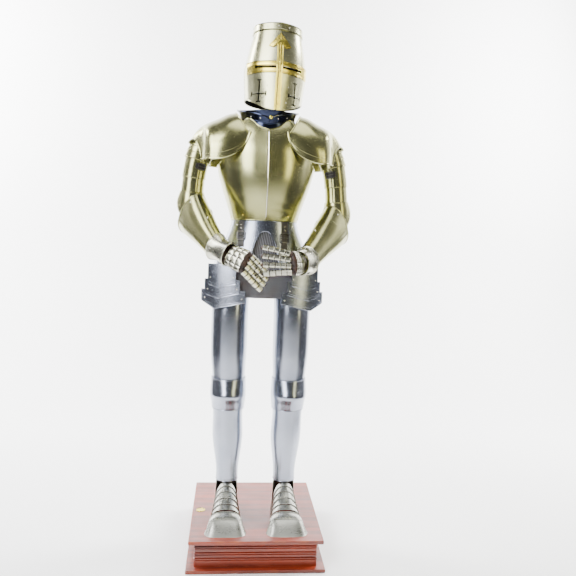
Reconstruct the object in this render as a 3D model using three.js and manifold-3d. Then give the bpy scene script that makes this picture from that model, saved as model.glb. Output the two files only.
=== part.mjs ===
// A suit of plate armour standing empty on a wooden plinth, in millimetres, +Z up, facing -Y.
// Every plate is a thin steel wall of its true form, open wherever a body would pass through it.
import * as THREE from "three";
import { mergeVertices } from "three/addons/utils/BufferGeometryUtils.js";
import Module from "manifold-3d";

const wasm = await Module();
wasm.setup();

// Driving dimensions
const SEAM = 0.3; // gap between two plates that touch
const PLATE = 2; // sheet steel of the body plates
const ARM_PLATE = 2; // sheet steel of the arm plates
const MAIL = 3; // mail cloth
const LEATHER = 2.5;
const FAR = 400; // longer than anything that a cutter passes through

const PLINTH = { width: 480, depth: 530, height: 110, board: 12 };
const PLINTH_TOP = { width: 465, depth: 515 };
const PLINTH_BODY = { width: 424, depth: 474, groove: 3.5 };
const SOLE = PLINTH.height + SEAM; // level of the soles
const ANKLE = SOLE + 122; // top of the heel plate, on which the greave stands
const STANCE = 108; // half the distance between the ankles
const HIP = 115; // half the distance between the thighs
const NECK_RIM = 1578.5; // top of the gorget's collar in front
const HELM_BASE = NECK_RIM + 1.2; // lowest point of the helm, at the chin, clear of the collar's inner edge
const EYE_LEVEL = 1726;
const CROWN_SEAM = 1860;
const WAIST = 1205;

// Colours and finishes
const finish = (color, roughness, metalness) => ({ color, roughness, metalness });
const STEEL = finish(0xb9b8a8, 0.28, 1);
const DARK_STEEL = finish(0x5c6474, 0.3, 1);
const BRASS = finish(0xc79a34, 0.3, 1);
const WOOD = finish(0xa33a17, 0.3, 0);
const MAIL_STEEL = finish(0x2b2c30, 0.55, 1);
const GLOVE = finish(0x2a140d, 0.6, 0);
const STRAP = finish(0x17130f, 0.55, 0);

const suit = new THREE.Group();

function add(name, geometry, look) {
  const mesh = new THREE.Mesh(geometry, new THREE.MeshStandardMaterial(look));
  mesh.name = name;
  suit.add(mesh);
}

// Small maths helpers
const vec = (x, y, z) => new THREE.Vector3(x, y, z);
const rad = (degrees) => (degrees * Math.PI) / 180;
const lerp = THREE.MathUtils.lerp;
const clamp = THREE.MathUtils.clamp;

// A column of a table at any place between its rows, on a smooth curve through them.
function follow(rows, key, place, column) {
  const last = rows.length - 1;
  let i = 0;
  while (i < last - 1 && place > rows[i + 1][key]) i += 1;
  const slope = (k) => {
    const before = rows[Math.max(k - 1, 0)];
    const after = rows[Math.min(k + 1, last)];
    return (after[column] - before[column]) / (after[key] - before[key]);
  };
  const span = rows[i + 1][key] - rows[i][key];
  const t = clamp((place - rows[i][key]) / span, 0, 1);
  const start = rows[i][column];
  const end = rows[i + 1][column];
  const t2 = t * t;
  const t3 = t2 * t;
  return (
    (2 * t3 - 3 * t2 + 1) * start +
    (t3 - 2 * t2 + t) * span * slope(i) +
    (3 * t2 - 2 * t3) * end +
    (t3 - t2) * span * slope(i + 1)
  );
}

function toGeometry(points, faces) {
  const geometry = new THREE.BufferGeometry();
  const flat = new Float32Array(points.flatMap((p) => [p.x, p.y, p.z]));
  geometry.setAttribute("position", new THREE.BufferAttribute(flat, 3));
  geometry.setIndex(faces.flat());
  return geometry;
}

// A closed plate: at(s, t) gives its outer face, s running up and t running counterclockwise seen
// from above. The inner face lies one thickness behind it. A closed plate joins up all round.
function plate({ at, up, round, thick, closed = false, pole = false, floor = -Infinity }) {
  const columns = closed ? round : round + 1;
  const rows = pole ? up : up + 1;
  const step = 1e-3;
  const outer = [];
  const inner = [];
  const inside = (s, t) => {
    const sLow = Math.max(s - step, 0);
    const sHigh = Math.min(s + step, pole ? 1 - step : 1);
    const tLow = closed ? t - step : Math.max(t - step, 0);
    const tHigh = closed ? t + step : Math.min(t + step, 1);
    const along = at(s, tHigh).sub(at(s, tLow));
    const upward = at(sHigh, t).sub(at(sLow, t));
    const normal = along.cross(upward).normalize();
    const point = at(s, t).addScaledVector(normal, -thick);
    point.z = Math.max(point.z, floor);
    return point;
  };
  for (let i = 0; i < rows; i += 1) {
    for (let j = 0; j < columns; j += 1) {
      outer.push(at(i / up, j / round));
      inner.push(inside(i / up, j / round));
    }
  }
  const points = [...outer, ...inner];
  const inSide = outer.length;
  const id = (i, j) => i * columns + (j % columns);
  const faces = [];
  const quad = (a, b, c, d) => faces.push([a, b, c], [a, c, d]);
  for (let i = 0; i < rows - 1; i += 1) {
    for (let j = 0; j < round; j += 1) {
      const corners = [id(i, j), id(i, j + 1), id(i + 1, j + 1), id(i + 1, j)];
      quad(...corners);
      quad(...corners.map((n) => n + inSide).reverse());
    }
  }
  for (let j = 0; j < round; j += 1) {
    quad(id(0, j), id(0, j) + inSide, id(0, j + 1) + inSide, id(0, j + 1));
    if (!pole) {
      const top = rows - 1;
      quad(id(top, j), id(top, j + 1), id(top, j + 1) + inSide, id(top, j) + inSide);
    }
  }
  if (!closed) {
    for (let i = 0; i < rows - 1; i += 1) {
      quad(id(i, 0), id(i + 1, 0), id(i + 1, 0) + inSide, id(i, 0) + inSide);
      quad(id(i, round), id(i, round) + inSide, id(i + 1, round) + inSide, id(i + 1, round));
    }
  }
  if (pole) {
    const apex = at(1, 0);
    points.push(apex, apex.clone().add(vec(0, 0, -thick)));
    const outerApex = points.length - 2;
    const innerApex = points.length - 1;
    for (let j = 0; j < round; j += 1) {
      faces.push([id(rows - 1, j), id(rows - 1, j + 1), outerApex]);
      faces.push([id(rows - 1, j + 1) + inSide, id(rows - 1, j) + inSide, innerApex]);
    }
  }
  return toGeometry(points, faces);
}

// A closed solid through rings of points, each ring counterclockwise seen from the last ring's side.
function loft(rings) {
  const round = rings[0].length;
  const points = rings.flat();
  const middle = (ring) =>
    ring.reduce((sum, p) => sum.add(p), vec(0, 0, 0)).divideScalar(ring.length);
  points.push(middle(rings[0]), middle(rings[rings.length - 1]));
  const firstCap = points.length - 2;
  const lastCap = points.length - 1;
  const faces = [];
  const id = (i, j) => i * round + (j % round);
  for (let i = 0; i < rings.length - 1; i += 1) {
    for (let j = 0; j < round; j += 1) {
      faces.push([id(i, j), id(i, j + 1), id(i + 1, j + 1)], [id(i, j), id(i + 1, j + 1), id(i + 1, j)]);
    }
  }
  for (let j = 0; j < round; j += 1) {
    faces.push([firstCap, id(0, j + 1), id(0, j)]);
    faces.push([lastCap, id(rings.length - 1, j), id(rings.length - 1, j + 1)]);
  }
  return toGeometry(points, faces);
}

// Mirrors a geometry from one side of the suit to the other.
function mirrored(geometry) {
  const copy = geometry.clone().scale(-1, 1, 1);
  const index = Array.from(copy.index.array);
  for (let i = 0; i < index.length; i += 3) [index[i + 1], index[i + 2]] = [index[i + 2], index[i + 1]];
  copy.setIndex(index);
  return copy;
}

// Joining and cutting
function toSolid(geometry) {
  const bare = new THREE.BufferGeometry();
  bare.setAttribute("position", geometry.getAttribute("position").clone());
  if (geometry.index) bare.setIndex(geometry.index.clone());
  const merged = mergeVertices(bare, 1e-3);
  return new wasm.Manifold(
    new wasm.Mesh({
      numProp: 3,
      vertProperties: merged.attributes.position.array,
      triVerts: new Uint32Array(merged.index.array),
    }),
  );
}

function fromSolid(solid) {
  const mesh = solid.getMesh();
  const geometry = new THREE.BufferGeometry();
  geometry.setAttribute("position", new THREE.BufferAttribute(new Float32Array(mesh.vertProperties), 3));
  geometry.setIndex(Array.from(mesh.triVerts));
  return geometry;
}

// A cutter with an outline in the X-Z plane that runs from the front to the middle of the suit.
function frontCutter(outline) {
  const shape = new THREE.Shape(outline.map(([x, z]) => new THREE.Vector2(x, z)));
  const geometry = new THREE.ExtrudeGeometry(shape, { depth: FAR, bevelEnabled: false });
  geometry.rotateX(Math.PI / 2);
  geometry.deleteAttribute("normal");
  geometry.deleteAttribute("uv");
  return toSolid(geometry);
}

const rectangle = (left, right, low, high) => [
  [left, low],
  [right, low],
  [right, high],
  [left, high],
];

// Plinth: a board, a grooved body and a top board, each a rounded-off stack of rectangles
function stack(width, depth, levels) {
  const rings = levels.map(({ z, inset }) => {
    const x = width / 2 - inset;
    const y = depth / 2 - inset;
    return [vec(x, -y, z), vec(x, y, z), vec(-x, y, z), vec(-x, -y, z)];
  });
  return loft(rings);
}

function plinth() {
  const { width, depth, height, board } = PLINTH;
  const bevel = 2;
  add(
    "plinth_bottom_board",
    stack(width, depth, [
      { z: 0, inset: 0 },
      { z: board - bevel, inset: 0 },
      { z: board, inset: bevel },
    ]),
    WOOD,
  );
  const bodyTop = height - board;
  const grooves = [22, 30, 42, 50, 64, 72]; // heights above the bottom board of the groove floors
  const levels = [{ z: board, inset: 0 }];
  for (const groove of grooves) {
    for (const [rise, inset] of [
      [-2, 0],
      [0, PLINTH_BODY.groove],
      [2, 0],
    ]) {
      levels.push({ z: board + groove + rise, inset });
    }
  }
  levels.push({ z: bodyTop, inset: 0 });
  add("plinth_body", stack(PLINTH_BODY.width, PLINTH_BODY.depth, levels), WOOD);
  add(
    "plinth_top_board",
    stack(PLINTH_TOP.width, PLINTH_TOP.depth, [
      { z: bodyTop, inset: bevel },
      { z: bodyTop + bevel, inset: 0 },
      { z: height - bevel, inset: 0 },
      { z: height, inset: bevel },
    ]),
    WOOD,
  );
}

// Sabatons: an arch over the foot whose half-width, height and lengthwise place follow a table.
// y_side is where the arch meets the sole, y_ridge is where its ridge is, and a smaller value of
// round makes the arch squarer.
const INSTEP = [
  { s: 0, half: 43, rise: 122, y_side: -6, y_ridge: -38, round: 0.85 },
  { s: 0.35, half: 46, rise: 103, y_side: -45, y_ridge: -72, round: 0.85 },
  { s: 0.7, half: 50, rise: 76, y_side: -88, y_ridge: -107, round: 0.8 },
  { s: 1, half: 54, rise: 57, y_side: -132, y_ridge: -140, round: 0.7 },
];
// The toe cap ends in a broad flat crest, and below it a steep front face curved in plan.
const TOE = [
  { s: 0, half: 56.5, rise: 54, y_side: -132, y_ridge: -141, round: 0.7 },
  { s: 0.5, half: 61, rise: 42, y_side: -160, y_ridge: -178, round: 0.42 },
  { s: 1, half: 73, rise: 0, y_side: -194, y_ridge: -228, round: 0.42 },
];
const LAMES = 5;
const LAME_STEP = 2.2;

function archPoint(table, s, t, out) {
  const angle = Math.PI * t;
  const half = follow(table, "s", s, "half") + out;
  const rise = Math.max(follow(table, "s", s, "rise") + (s < 1 ? out : 0), 0);
  const side = follow(table, "s", s, "y_side");
  const ridge = follow(table, "s", s, "y_ridge");
  const round = follow(table, "s", s, "round");
  const across = Math.sign(Math.cos(angle)) * Math.abs(Math.cos(angle)) ** round;
  const lift = Math.max(Math.sin(angle), 0) ** round;
  return vec(half * across, lerp(side, ridge, Math.max(Math.sin(angle), 0)), SOLE + rise * lift);
}

function sabaton(side, sign) {
  const place = (geometry) => geometry.translate(sign * STANCE, 0, 0);
  const instep = (s, t) => {
    const k = Math.min(Math.floor(s * LAMES), LAMES - 1);
    const within = s * LAMES - k;
    return archPoint(INSTEP, s, t, LAME_STEP * within);
  };
  // Each lame is lowest at its rear edge, so that its front edge stands on the next one.
  const marks = [];
  for (let k = 0; k < LAMES; k += 1) marks.push((k + 0.02) / LAMES, (k + 0.99) / LAMES);
  const stepped = (s, t) => {
    const place01 = s * (marks.length - 1);
    const i = Math.min(Math.floor(place01), marks.length - 2);
    return instep(lerp(marks[i], marks[i + 1], place01 - i), t);
  };
  const lames = plate({
    at: stepped,
    up: marks.length - 1,
    round: 10,
    thick: PLATE,
    floor: SOLE,
  });
  add("sabaton_lames_" + side, place(lames), STEEL);
  const toe = plate({
    at: (s, t) => archPoint(TOE, s, t, 0),
    up: 4,
    round: 12,
    thick: PLATE,
    floor: SOLE,
  });
  add("sabaton_toe_" + side, place(toe), STEEL);
  const heel = plate({
    at: (s, t) => {
      const angle = rad(lerp(-6, 186, t));
      const taper = lerp(0, 5, s);
      const length = lerp(64, 40, s);
      return vec((44 - taper) * Math.cos(angle), 2 + length * Math.sin(angle), lerp(SOLE, ANKLE, s));
    },
    up: 4,
    round: 12,
    thick: PLATE,
    floor: SOLE,
  });
  add("sabaton_heel_" + side, place(heel), STEEL);
}

// Closed tubes that stand upright: centre and half-axes by height
function tube(rows, round, thick, up) {
  const low = rows[0].z;
  const high = rows[rows.length - 1].z;
  return plate({
    at: (s, t) => {
      const z = lerp(low, high, s);
      const angle = 2 * Math.PI * t;
      return vec(
        follow(rows, "z", z, "cx") + follow(rows, "z", z, "rx") * Math.cos(angle),
        follow(rows, "z", z, "cy") + follow(rows, "z", z, "ry") * Math.sin(angle),
        z,
      );
    },
    up,
    round,
    thick,
    closed: true,
  });
}

const GREAVE = [
  { z: ANKLE + SEAM, cx: STANCE, cy: 1, rx: 41, ry: 43 },
  { z: 280, cx: STANCE, cy: 4, rx: 42, ry: 46 },
  { z: 390, cx: STANCE + 2, cy: 12, rx: 56, ry: 62 },
  { z: 480, cx: STANCE + 4, cy: 4, rx: 55, ry: 58 },
  { z: 520, cx: STANCE + 4, cy: 0, rx: 56, ry: 58 },
];
const POLEYN = [
  { z: 508, cx: STANCE + 4, cy: 0, rx: 59.5, ry: 61.5 },
  { z: 535, cx: STANCE + 4, cy: -3, rx: 63, ry: 70 },
  { z: 562, cx: STANCE + 5, cy: -7, rx: 66, ry: 80 },
  { z: 592, cx: STANCE + 5, cy: -4, rx: 65, ry: 73 },
  { z: 622, cx: STANCE + 5, cy: 0, rx: 63.4, ry: 66.4 },
];
const CUISSE = [
  { z: 608, cx: STANCE + 5, cy: 0, rx: 59.8, ry: 62.4 },
  { z: 630, cx: STANCE + 5, cy: 0, rx: 60.2, ry: 63 },
  { z: 720, cx: HIP, cy: 0, rx: 66, ry: 73 },
  { z: 850, cx: HIP, cy: 0, rx: 67, ry: 76 },
  { z: 960, cx: HIP - 2, cy: 0, rx: 66.9, ry: 66 },
];

function leg(side, sign) {
  const put = (name, geometry) => add(name + side, sign > 0 ? geometry : mirrored(geometry), STEEL);
  put("greave_", tube(GREAVE, 16, PLATE, 5));
  put("poleyn_", tube(POLEYN, 16, PLATE, 4));
  put("cuisse_", tube(CUISSE, 16, PLATE, 4));
}

// Torso: half-width and the depths in front and behind, by height. The angle runs from the
// viewer's left side (180 degrees) over the front (270) to the right side (360).
const TORSO = [
  { z: WAIST, half: 121, front: 108, back: 94 },
  { z: 1260, half: 138, front: 130, back: 104 },
  { z: 1320, half: 158, front: 148, back: 118 },
  { z: 1380, half: 174, front: 156, back: 129 },
  { z: 1430, half: 178, front: 154, back: 133 },
  { z: 1480, half: 172, front: 142, back: 130 },
  { z: 1520, half: 158, front: 126, back: 118 },
  { z: 1560, half: 136, front: 104, back: 100 },
];
const SKIRT = [
  { z: 1020, half: 187, front: 142, back: 132 },
  { z: 1060, half: 174, front: 133, back: 124 },
  { z: 1113, half: 152, front: 120, back: 112 },
  { z: 1170, half: 128, front: 109, back: 98 },
  { z: WAIST + 3, half: 118, front: 105, back: 91 },
];
const MAIL_LOW = 930;
const MAIL_HIGH = 1180;
const MAIL_SKIRT = [
  { z: MAIL_LOW, half: 187, front: 118, back: 108 },
  { z: 1022, half: 182, front: 121, back: 110 },
  { z: 1113, half: 146.5, front: 112, back: 104 },
  { z: MAIL_HIGH, half: 121.6, front: 104.2, back: 93.2 },
];
const KEEL = 5; // how far the breastplate's centre ridge is drawn forward
const KEEL_HALF = 40;

function bodyPoint(table, z, angle, out) {
  const sine = Math.sin(angle);
  const depth = follow(table, "z", z, sine < 0 ? "front" : "back") + out;
  const half = follow(table, "z", z, "half") + out;
  return vec(half * Math.cos(angle), depth * sine, z);
}

// Top edge of the breastplate and backplate: neckline, shoulder, armhole, by distance from the middle.
const TOP_EDGE = [
  { x: 0, front: 1514, back: 1556 },
  { x: 40, front: 1527, back: 1557 },
  { x: 75, front: 1550, back: 1559 },
  { x: 100, front: 1553, back: 1556 },
  { x: 118, front: 1520, back: 1524 },
  { x: 135, front: 1462, back: 1470 },
  { x: 160, front: 1412, back: 1420 },
  { x: 180, front: 1392, back: 1392 },
];

function halfTorso(from, to, column, keel) {
  return plate({
    at: (s, t) => {
      const angle = rad(lerp(from, to, t));
      // The top edge is looked up by the width that this column has at the chest.
      const top = follow(TOP_EDGE, "x", Math.abs(178 * Math.cos(angle)), column);
      const point = bodyPoint(TORSO, lerp(WAIST, top, s), angle, 0);
      if (keel) point.y -= KEEL * Math.max(1 - Math.abs(point.x) / KEEL_HALF, 0) ** 2;
      return point;
    },
    up: 9,
    round: 16,
    thick: PLATE,
  });
}

function torso() {
  const seam = 0.12; // degrees that part the two halves at the sides
  add("breastplate", halfTorso(180 + seam, 360 - seam, "front", true), STEEL);
  add("backplate", halfTorso(seam, 180 - seam, "back", false), STEEL);
}

// Fauld: the flared skirt plate, with an arched opening in the middle of its front
const ARCH = { half: 46, top: 1167 };
const FAULD_LOW = 1022;

function fauldLow(x) {
  const share = Math.abs(x) / ARCH.half;
  if (share >= 1) return FAULD_LOW;
  return FAULD_LOW + (ARCH.top - FAULD_LOW) * (1 - share ** 2.6) ** 0.45;
}

function fauld() {
  const seam = 0.12;
  const half = (from, to, cut) =>
    plate({
      at: (s, t) => {
        const angle = rad(lerp(from, to, t));
        const low = cut ? fauldLow(150 * Math.cos(angle)) : FAULD_LOW;
        return bodyPoint(SKIRT, lerp(low, WAIST - SEAM, s), angle, -SEAM);
      },
      up: 4,
      round: 20,
      thick: PLATE,
    });
  add("fauld_front", half(180 + seam, 360 - seam, true), STEEL);
  add("fauld_back", half(seam, 180 - seam, false), STEEL);
  const skirt = plate({
    at: (s, t) => bodyPoint(MAIL_SKIRT, lerp(MAIL_LOW, MAIL_HIGH, s), 2 * Math.PI * t, 0),
    up: 4,
    round: 24,
    thick: MAIL,
    closed: true,
  });
  add("mail_skirt", skirt, MAIL_STEEL);
}

// Straps that hang from the waist over the fauld
const STRAP_CLEAR = 0.9;

function strap(name, fromX, toX, low) {
  const strip = plate({
    at: (s, t) => {
      const z = lerp(low, WAIST - 4, s);
      const wide = follow(SKIRT, "z", z, "half");
      const x = lerp(fromX, toX, t);
      const angle = 2 * Math.PI - Math.acos(clamp(x / wide, -1, 1));
      return bodyPoint(SKIRT, z, angle, LEATHER + STRAP_CLEAR);
    },
    up: 4,
    round: 3,
    thick: LEATHER,
  });
  add(name, strip, STRAP);
}

// Tassets: three lames a side, each hanging from behind the one above, with a pointed lower edge.
// Places are distances from the middle: inner edge, point and outer edge.
const TASSET_LAMES = [
  { top: 1046, inner: 98, point: 158, outer: 196, low_inner: 978, low_point: 962, low_outer: 974 },
  { top: 992, inner: 84, point: 166, outer: 207, low_inner: 945, low_point: 924, low_outer: 940 },
  { top: 954, inner: 64, point: 172, outer: 219, low_inner: 914, low_point: 888, low_outer: 914 },
];
const TASSET = { half: 244, front: 134, flare: 0.06 };

// The lame follows a wide ellipse round the hip, flaring a little towards its lower edge.
function tassetPoint(x, z, behind) {
  const front = TASSET.front - behind + TASSET.flare * (1022 - z);
  return vec(x, -front * Math.sqrt(1 - (x / (TASSET.half - 1.4 * behind)) ** 2), z);
}

function tasset(side, sign) {
  TASSET_LAMES.forEach((lame, number) => {
    const geometry = plate({
      at: (s, t) => {
        const x = lerp(lame.inner, lame.outer, t);
        const low =
          x < lame.point
            ? lerp(lame.low_inner, lame.low_point, (x - lame.inner) / (lame.point - lame.inner))
            : lerp(lame.low_point, lame.low_outer, (x - lame.point) / (lame.outer - lame.point));
        return tassetPoint(x, lerp(low, lame.top, s), number * (PLATE + 3 * SEAM));
      },
      up: 1,
      round: 10,
      thick: PLATE,
    });
    add(`tasset_${side}_${number + 1}`, sign > 0 ? geometry : mirrored(geometry), STEEL);
  });
}

// Gorget: a closed ring that rises from inside the neckline to a flared collar, whose lower edge
// drops to a V in front. Its rim is level in front, where the helm turns on it.
const GORGET = [
  { s: 0, z: 1492, side_rise: 45, half: 106.8, front: 123.8, back: 98.5 },
  { s: 0.35, z: 1531, side_rise: 36, half: 98.8, front: 119.8, back: 96.5 },
  { s: 0.45, z: 1536, side_rise: 36, half: 98, front: 122, back: 96 },
  { s: 0.7, z: 1555, side_rise: 28, half: 101, front: 129, back: 100 },
  { s: 1, z: NECK_RIM, side_rise: 21, half: 110, front: 139.5, back: 116 },
];

function gorget() {
  const ring = plate({
    at: (s, t) => {
      const angle = 2 * Math.PI * t;
      const sine = Math.sin(angle);
      const away = Math.acos(clamp(-sine, -1, 1)) / (Math.PI / 2); // 0 in front, 1 at a side, 2 behind
      const share = clamp((away - 0.36) / 0.64, 0, 1) ** 1.5;
      const rise = follow(GORGET, "s", s, "side_rise");
      const vee = s < 0.9 ? Math.min(away, 1) : share;
      return vec(
        follow(GORGET, "s", s, "half") * Math.cos(angle),
        follow(GORGET, "s", s, sine < 0 ? "front" : "back") * sine,
        follow(GORGET, "s", s, "z") + rise * vee,
      );
    },
    up: 5,
    round: 24,
    thick: PLATE,
    closed: true,
  });
  add("gorget", ring, DARK_STEEL);
}

// Great helm: half-width, keel depth in front and depth behind, by height
const HELM = [
  { z: 1570, half: 101, keel: 138, back: 112 },
  { z: 1642, half: 104, keel: 137, back: 115 },
  { z: EYE_LEVEL, half: 111, keel: 135, back: 120 },
  { z: 1754, half: 107, keel: 130, back: 119 },
  { z: 1800, half: 98.5, keel: 119, back: 112 },
  { z: CROWN_SEAM, half: 86, keel: 102, back: 98 },
  { z: 1898, half: 81.5, keel: 96, back: 92 },
];
const CROWN_LIFT = PLATE + 1.3;
const CROWN_RIM = 1884; // top of the crown's upright rim
const CROWN_DOME = 7; // rise of its middle over the rim
// The helm doesn't stand quite straight: it is turned, leans to one side, and sits a little aside of
// the collar's middle.
const HELM_TURN = 3.5;
const HELM_LEAN = 2.2;
const HELM_ASIDE = 14;
const HELM_PIVOT = HELM_ASIDE + 8; // the helm leans about the foot of its ridge
const HELM_POSE = new THREE.Matrix4()
  .makeTranslation(HELM_PIVOT, 0, HELM_BASE)
  .multiply(new THREE.Matrix4().makeRotationY(rad(HELM_LEAN)))
  .multiply(new THREE.Matrix4().makeTranslation(HELM_ASIDE - HELM_PIVOT, 0, -HELM_BASE))
  .multiply(new THREE.Matrix4().makeRotationZ(rad(HELM_TURN)));

function addToHelm(name, geometry, look) {
  add(name, geometry.applyMatrix4(HELM_POSE), look);
}
const FRONT_SQUARE = 2.6; // over 2, the front is fuller than an ellipse
const KEEL_SHARE = 0.26; // how much of the front's depth is drawn into a straight-sided ridge
const CHEEK_RISE = 46; // how much higher the helm's lower edge is at the sides than at the chin
const SLIT = { near: 8, far: 79, height: 8 };
const BREATH_CROSS = { x: 62, z: 1636, arm: 25, up: 48, down: 29, bar: 4.5, serif: 8 };
const BRASS_SHEET = 1.5;
const BRASS_LIFT = 2.25; // outer face of the brass in front of the steel
const BRASS_STRIP = 10; // half-width
const STRIP_TOP = 1836;
const BRASS_BAND = { low: 1706, high: 1746, half: 103 };

function helmPoint(z, angle, out) {
  const half = follow(HELM, "z", z, "half") + out;
  const cosine = Math.cos(angle);
  const sine = Math.sin(angle);
  if (sine >= 0) return vec(half * cosine, (follow(HELM, "z", z, "back") + out) * sine, z);
  const round = Math.max(1 - Math.abs(cosine) ** FRONT_SQUARE, 0) ** (1 / FRONT_SQUARE);
  const straight = 1 - Math.abs(cosine);
  const depth = follow(HELM, "z", z, "keel") + out;
  return vec(half * cosine, -depth * lerp(round, straight, KEEL_SHARE), z);
}

function helmLow(angle) {
  const away = Math.abs(Math.cos(angle));
  return Math.sin(angle) < 0 ? HELM_BASE + CHEEK_RISE * away ** 2 : HELM_BASE + CHEEK_RISE;
}

function crossOutline(cx) {
  const { z, arm, up, down, bar, serif } = BREATH_CROSS;
  const h = bar / 2;
  return [
    rectangle(cx - h, cx + h, z - down, z + up),
    rectangle(cx - arm, cx + arm, z - h, z + h),
    rectangle(cx - serif, cx + serif, z + up - bar, z + up),
    rectangle(cx - serif, cx + serif, z - down, z - down + bar),
    rectangle(cx - arm, cx - arm + bar, z - serif, z + serif),
    rectangle(cx + arm - bar, cx + arm, z - serif, z + serif),
  ];
}

function helmShell(from, to, low, high, out, thick, up, round) {
  return plate({
    at: (s, t) => {
      const angle = rad(lerp(from, to, t));
      return helmPoint(lerp(low(angle), high, s), angle, out);
    },
    up,
    round,
    thick,
  });
}

function helm() {
  const seam = 0.15;
  const top = CROWN_SEAM + 14;
  const slits = [1, -1].map((sign) =>
    frontCutter(
      rectangle(
        Math.min(sign * SLIT.near, sign * SLIT.far),
        Math.max(sign * SLIT.near, sign * SLIT.far),
        EYE_LEVEL - SLIT.height / 2,
        EYE_LEVEL + SLIT.height / 2,
      ),
    ),
  );
  let front = toSolid(helmShell(180 + seam, 360 - seam, helmLow, top, 0, PLATE, 7, 18));
  for (const slit of slits) front = front.subtract(slit);
  for (const sign of [1, -1]) {
    for (const bar of crossOutline(sign * BREATH_CROSS.x)) front = front.subtract(frontCutter(bar));
  }
  addToHelm("helm_front", fromSolid(front), STEEL);
  addToHelm("helm_back", helmShell(seam, 180 - seam, helmLow, top, 0, PLATE, 5, 18), STEEL);
  const crown = plate({
    at: (s, t) => {
      const angle = 2 * Math.PI * t;
      const skirt = 0.5; // share of the rows on the upright rim
      if (s <= skirt) return helmPoint(lerp(CROWN_SEAM, CROWN_RIM, s / skirt), angle, CROWN_LIFT);
      const inward = (s - skirt) / (1 - skirt);
      const edge = helmPoint(CROWN_RIM, angle, CROWN_LIFT);
      const shrink = 1 - inward;
      const rise = CROWN_DOME * Math.sin((inward * Math.PI) / 2);
      return vec(edge.x * shrink, edge.y * shrink, CROWN_RIM + rise);
    },
    up: 4,
    round: 36,
    thick: PLATE,
    closed: true,
    pole: true,
  });
  addToHelm("helm_crown", crown, STEEL);
  // The brass cross lies on the front: a wider wall, cut to the outline of the cross.
  const sheet = toSolid(helmShell(180 + seam, 360 - seam, helmLow, top, BRASS_LIFT, BRASS_SHEET, 7, 18));
  const outlines = [
    rectangle(-BRASS_STRIP, BRASS_STRIP, HELM_BASE + 1, STRIP_TOP),
    rectangle(-BRASS_BAND.half, BRASS_BAND.half, BRASS_BAND.low, BRASS_BAND.high),
    [
      [-37, 1800],
      [-24, 1796],
      [0, 1808],
      [24, 1796],
      [37, 1800],
      [20, 1822],
      [0, 1844],
      [-20, 1822],
    ],
  ];
  let cross = outlines.map((outline) => frontCutter(outline)).reduce((sum, solid) => sum.add(solid));
  cross = cross.intersect(sheet);
  for (const slit of slits) cross = cross.subtract(slit);
  addToHelm("helm_brass_cross", fromSolid(cross), BRASS);
}

// Pauldron: arches from the front over the shoulder to the back, set side by side from the neck
// outwards. The lower front edge follows a quarter of an ellipse, and the outer edge swells into a
// cap over the top of the arm.
const PAULDRON = [
  { x: 66, top: 1576, front: 127.7, back: 128 },
  { x: 100, top: 1586, front: 139.7, back: 137 },
  { x: 140, top: 1580, front: 146.7, back: 140 },
  { x: 180, top: 1560, front: 142, back: 130 },
  { x: 212, top: 1546, front: 126, back: 110 },
  { x: 232, top: 1536, front: 86, back: 78 },
  { x: 256, top: 1514, front: 68, back: 62 },
  { x: 281, top: 1474, front: 50, back: 46 },
];
const LOBE = { x: 188, z: 1511, wide: 122, deep: 104, inner: 66, outer: 232, hollow: 52, cap: 49 };

function lobeEdge(x) {
  const share = clamp((LOBE.x - x) / LOBE.wide, 0, 1);
  return LOBE.z - LOBE.deep * Math.sqrt(Math.max(1 - share ** 2, 0));
}

function pauldronPoint(x, angle, out) {
  const depth = follow(PAULDRON, "x", x, Math.cos(angle) > 0 ? "front" : "back") + out;
  const top = follow(PAULDRON, "x", x, "top") + out;
  const low = lobeEdge(x);
  return vec(x, -depth * Math.cos(angle), low + (top - low) * Math.max(Math.sin(angle), 0) ** 0.9);
}

function pauldron(side, sign) {
  const shell = plate({
    at: (s, t) => {
      const spread = s < 0.5 ? 2 * s * s : s; // narrow steps at the neck, where the edge curves most
      const angle = Math.PI * (1 - t);
      const swell = Math.max(Math.sin(angle), 0) ** 1.5;
      const neck = LOBE.inner + LOBE.hollow * swell;
      return pauldronPoint(lerp(neck, LOBE.outer + LOBE.cap * swell, spread), angle, 0);
    },
    up: 9,
    round: 14,
    thick: PLATE,
  });
  add("pauldron_" + side, sign > 0 ? shell : mirrored(shell), STEEL);
}

// Arms: rings along a line of centres. Each ring is perpendicular to the line, and stretched along
// its own tall axis.
function frameOf(direction) {
  const along = direction.clone().normalize();
  const tall = vec(0, 0, 1).addScaledVector(along, -along.z).normalize();
  const wide = new THREE.Vector3().crossVectors(along, tall);
  return { along, tall, wide };
}

// A closed tube from start to end: half-axes by share of its length, tall and wide.
function limb({ start, end, rows, up, round, thick }) {
  const { tall, wide } = frameOf(end.clone().sub(start));
  return plate({
    at: (s, t) => {
      const angle = 2 * Math.PI * t;
      const a = follow(rows, "s", s, "tall");
      const b = follow(rows, "s", s, "wide");
      return start
        .clone()
        .lerp(end, s)
        .addScaledVector(tall, a * Math.cos(angle))
        .addScaledVector(wide, b * Math.sin(angle));
    },
    up,
    round,
    thick,
    closed: true,
  });
}

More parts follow.
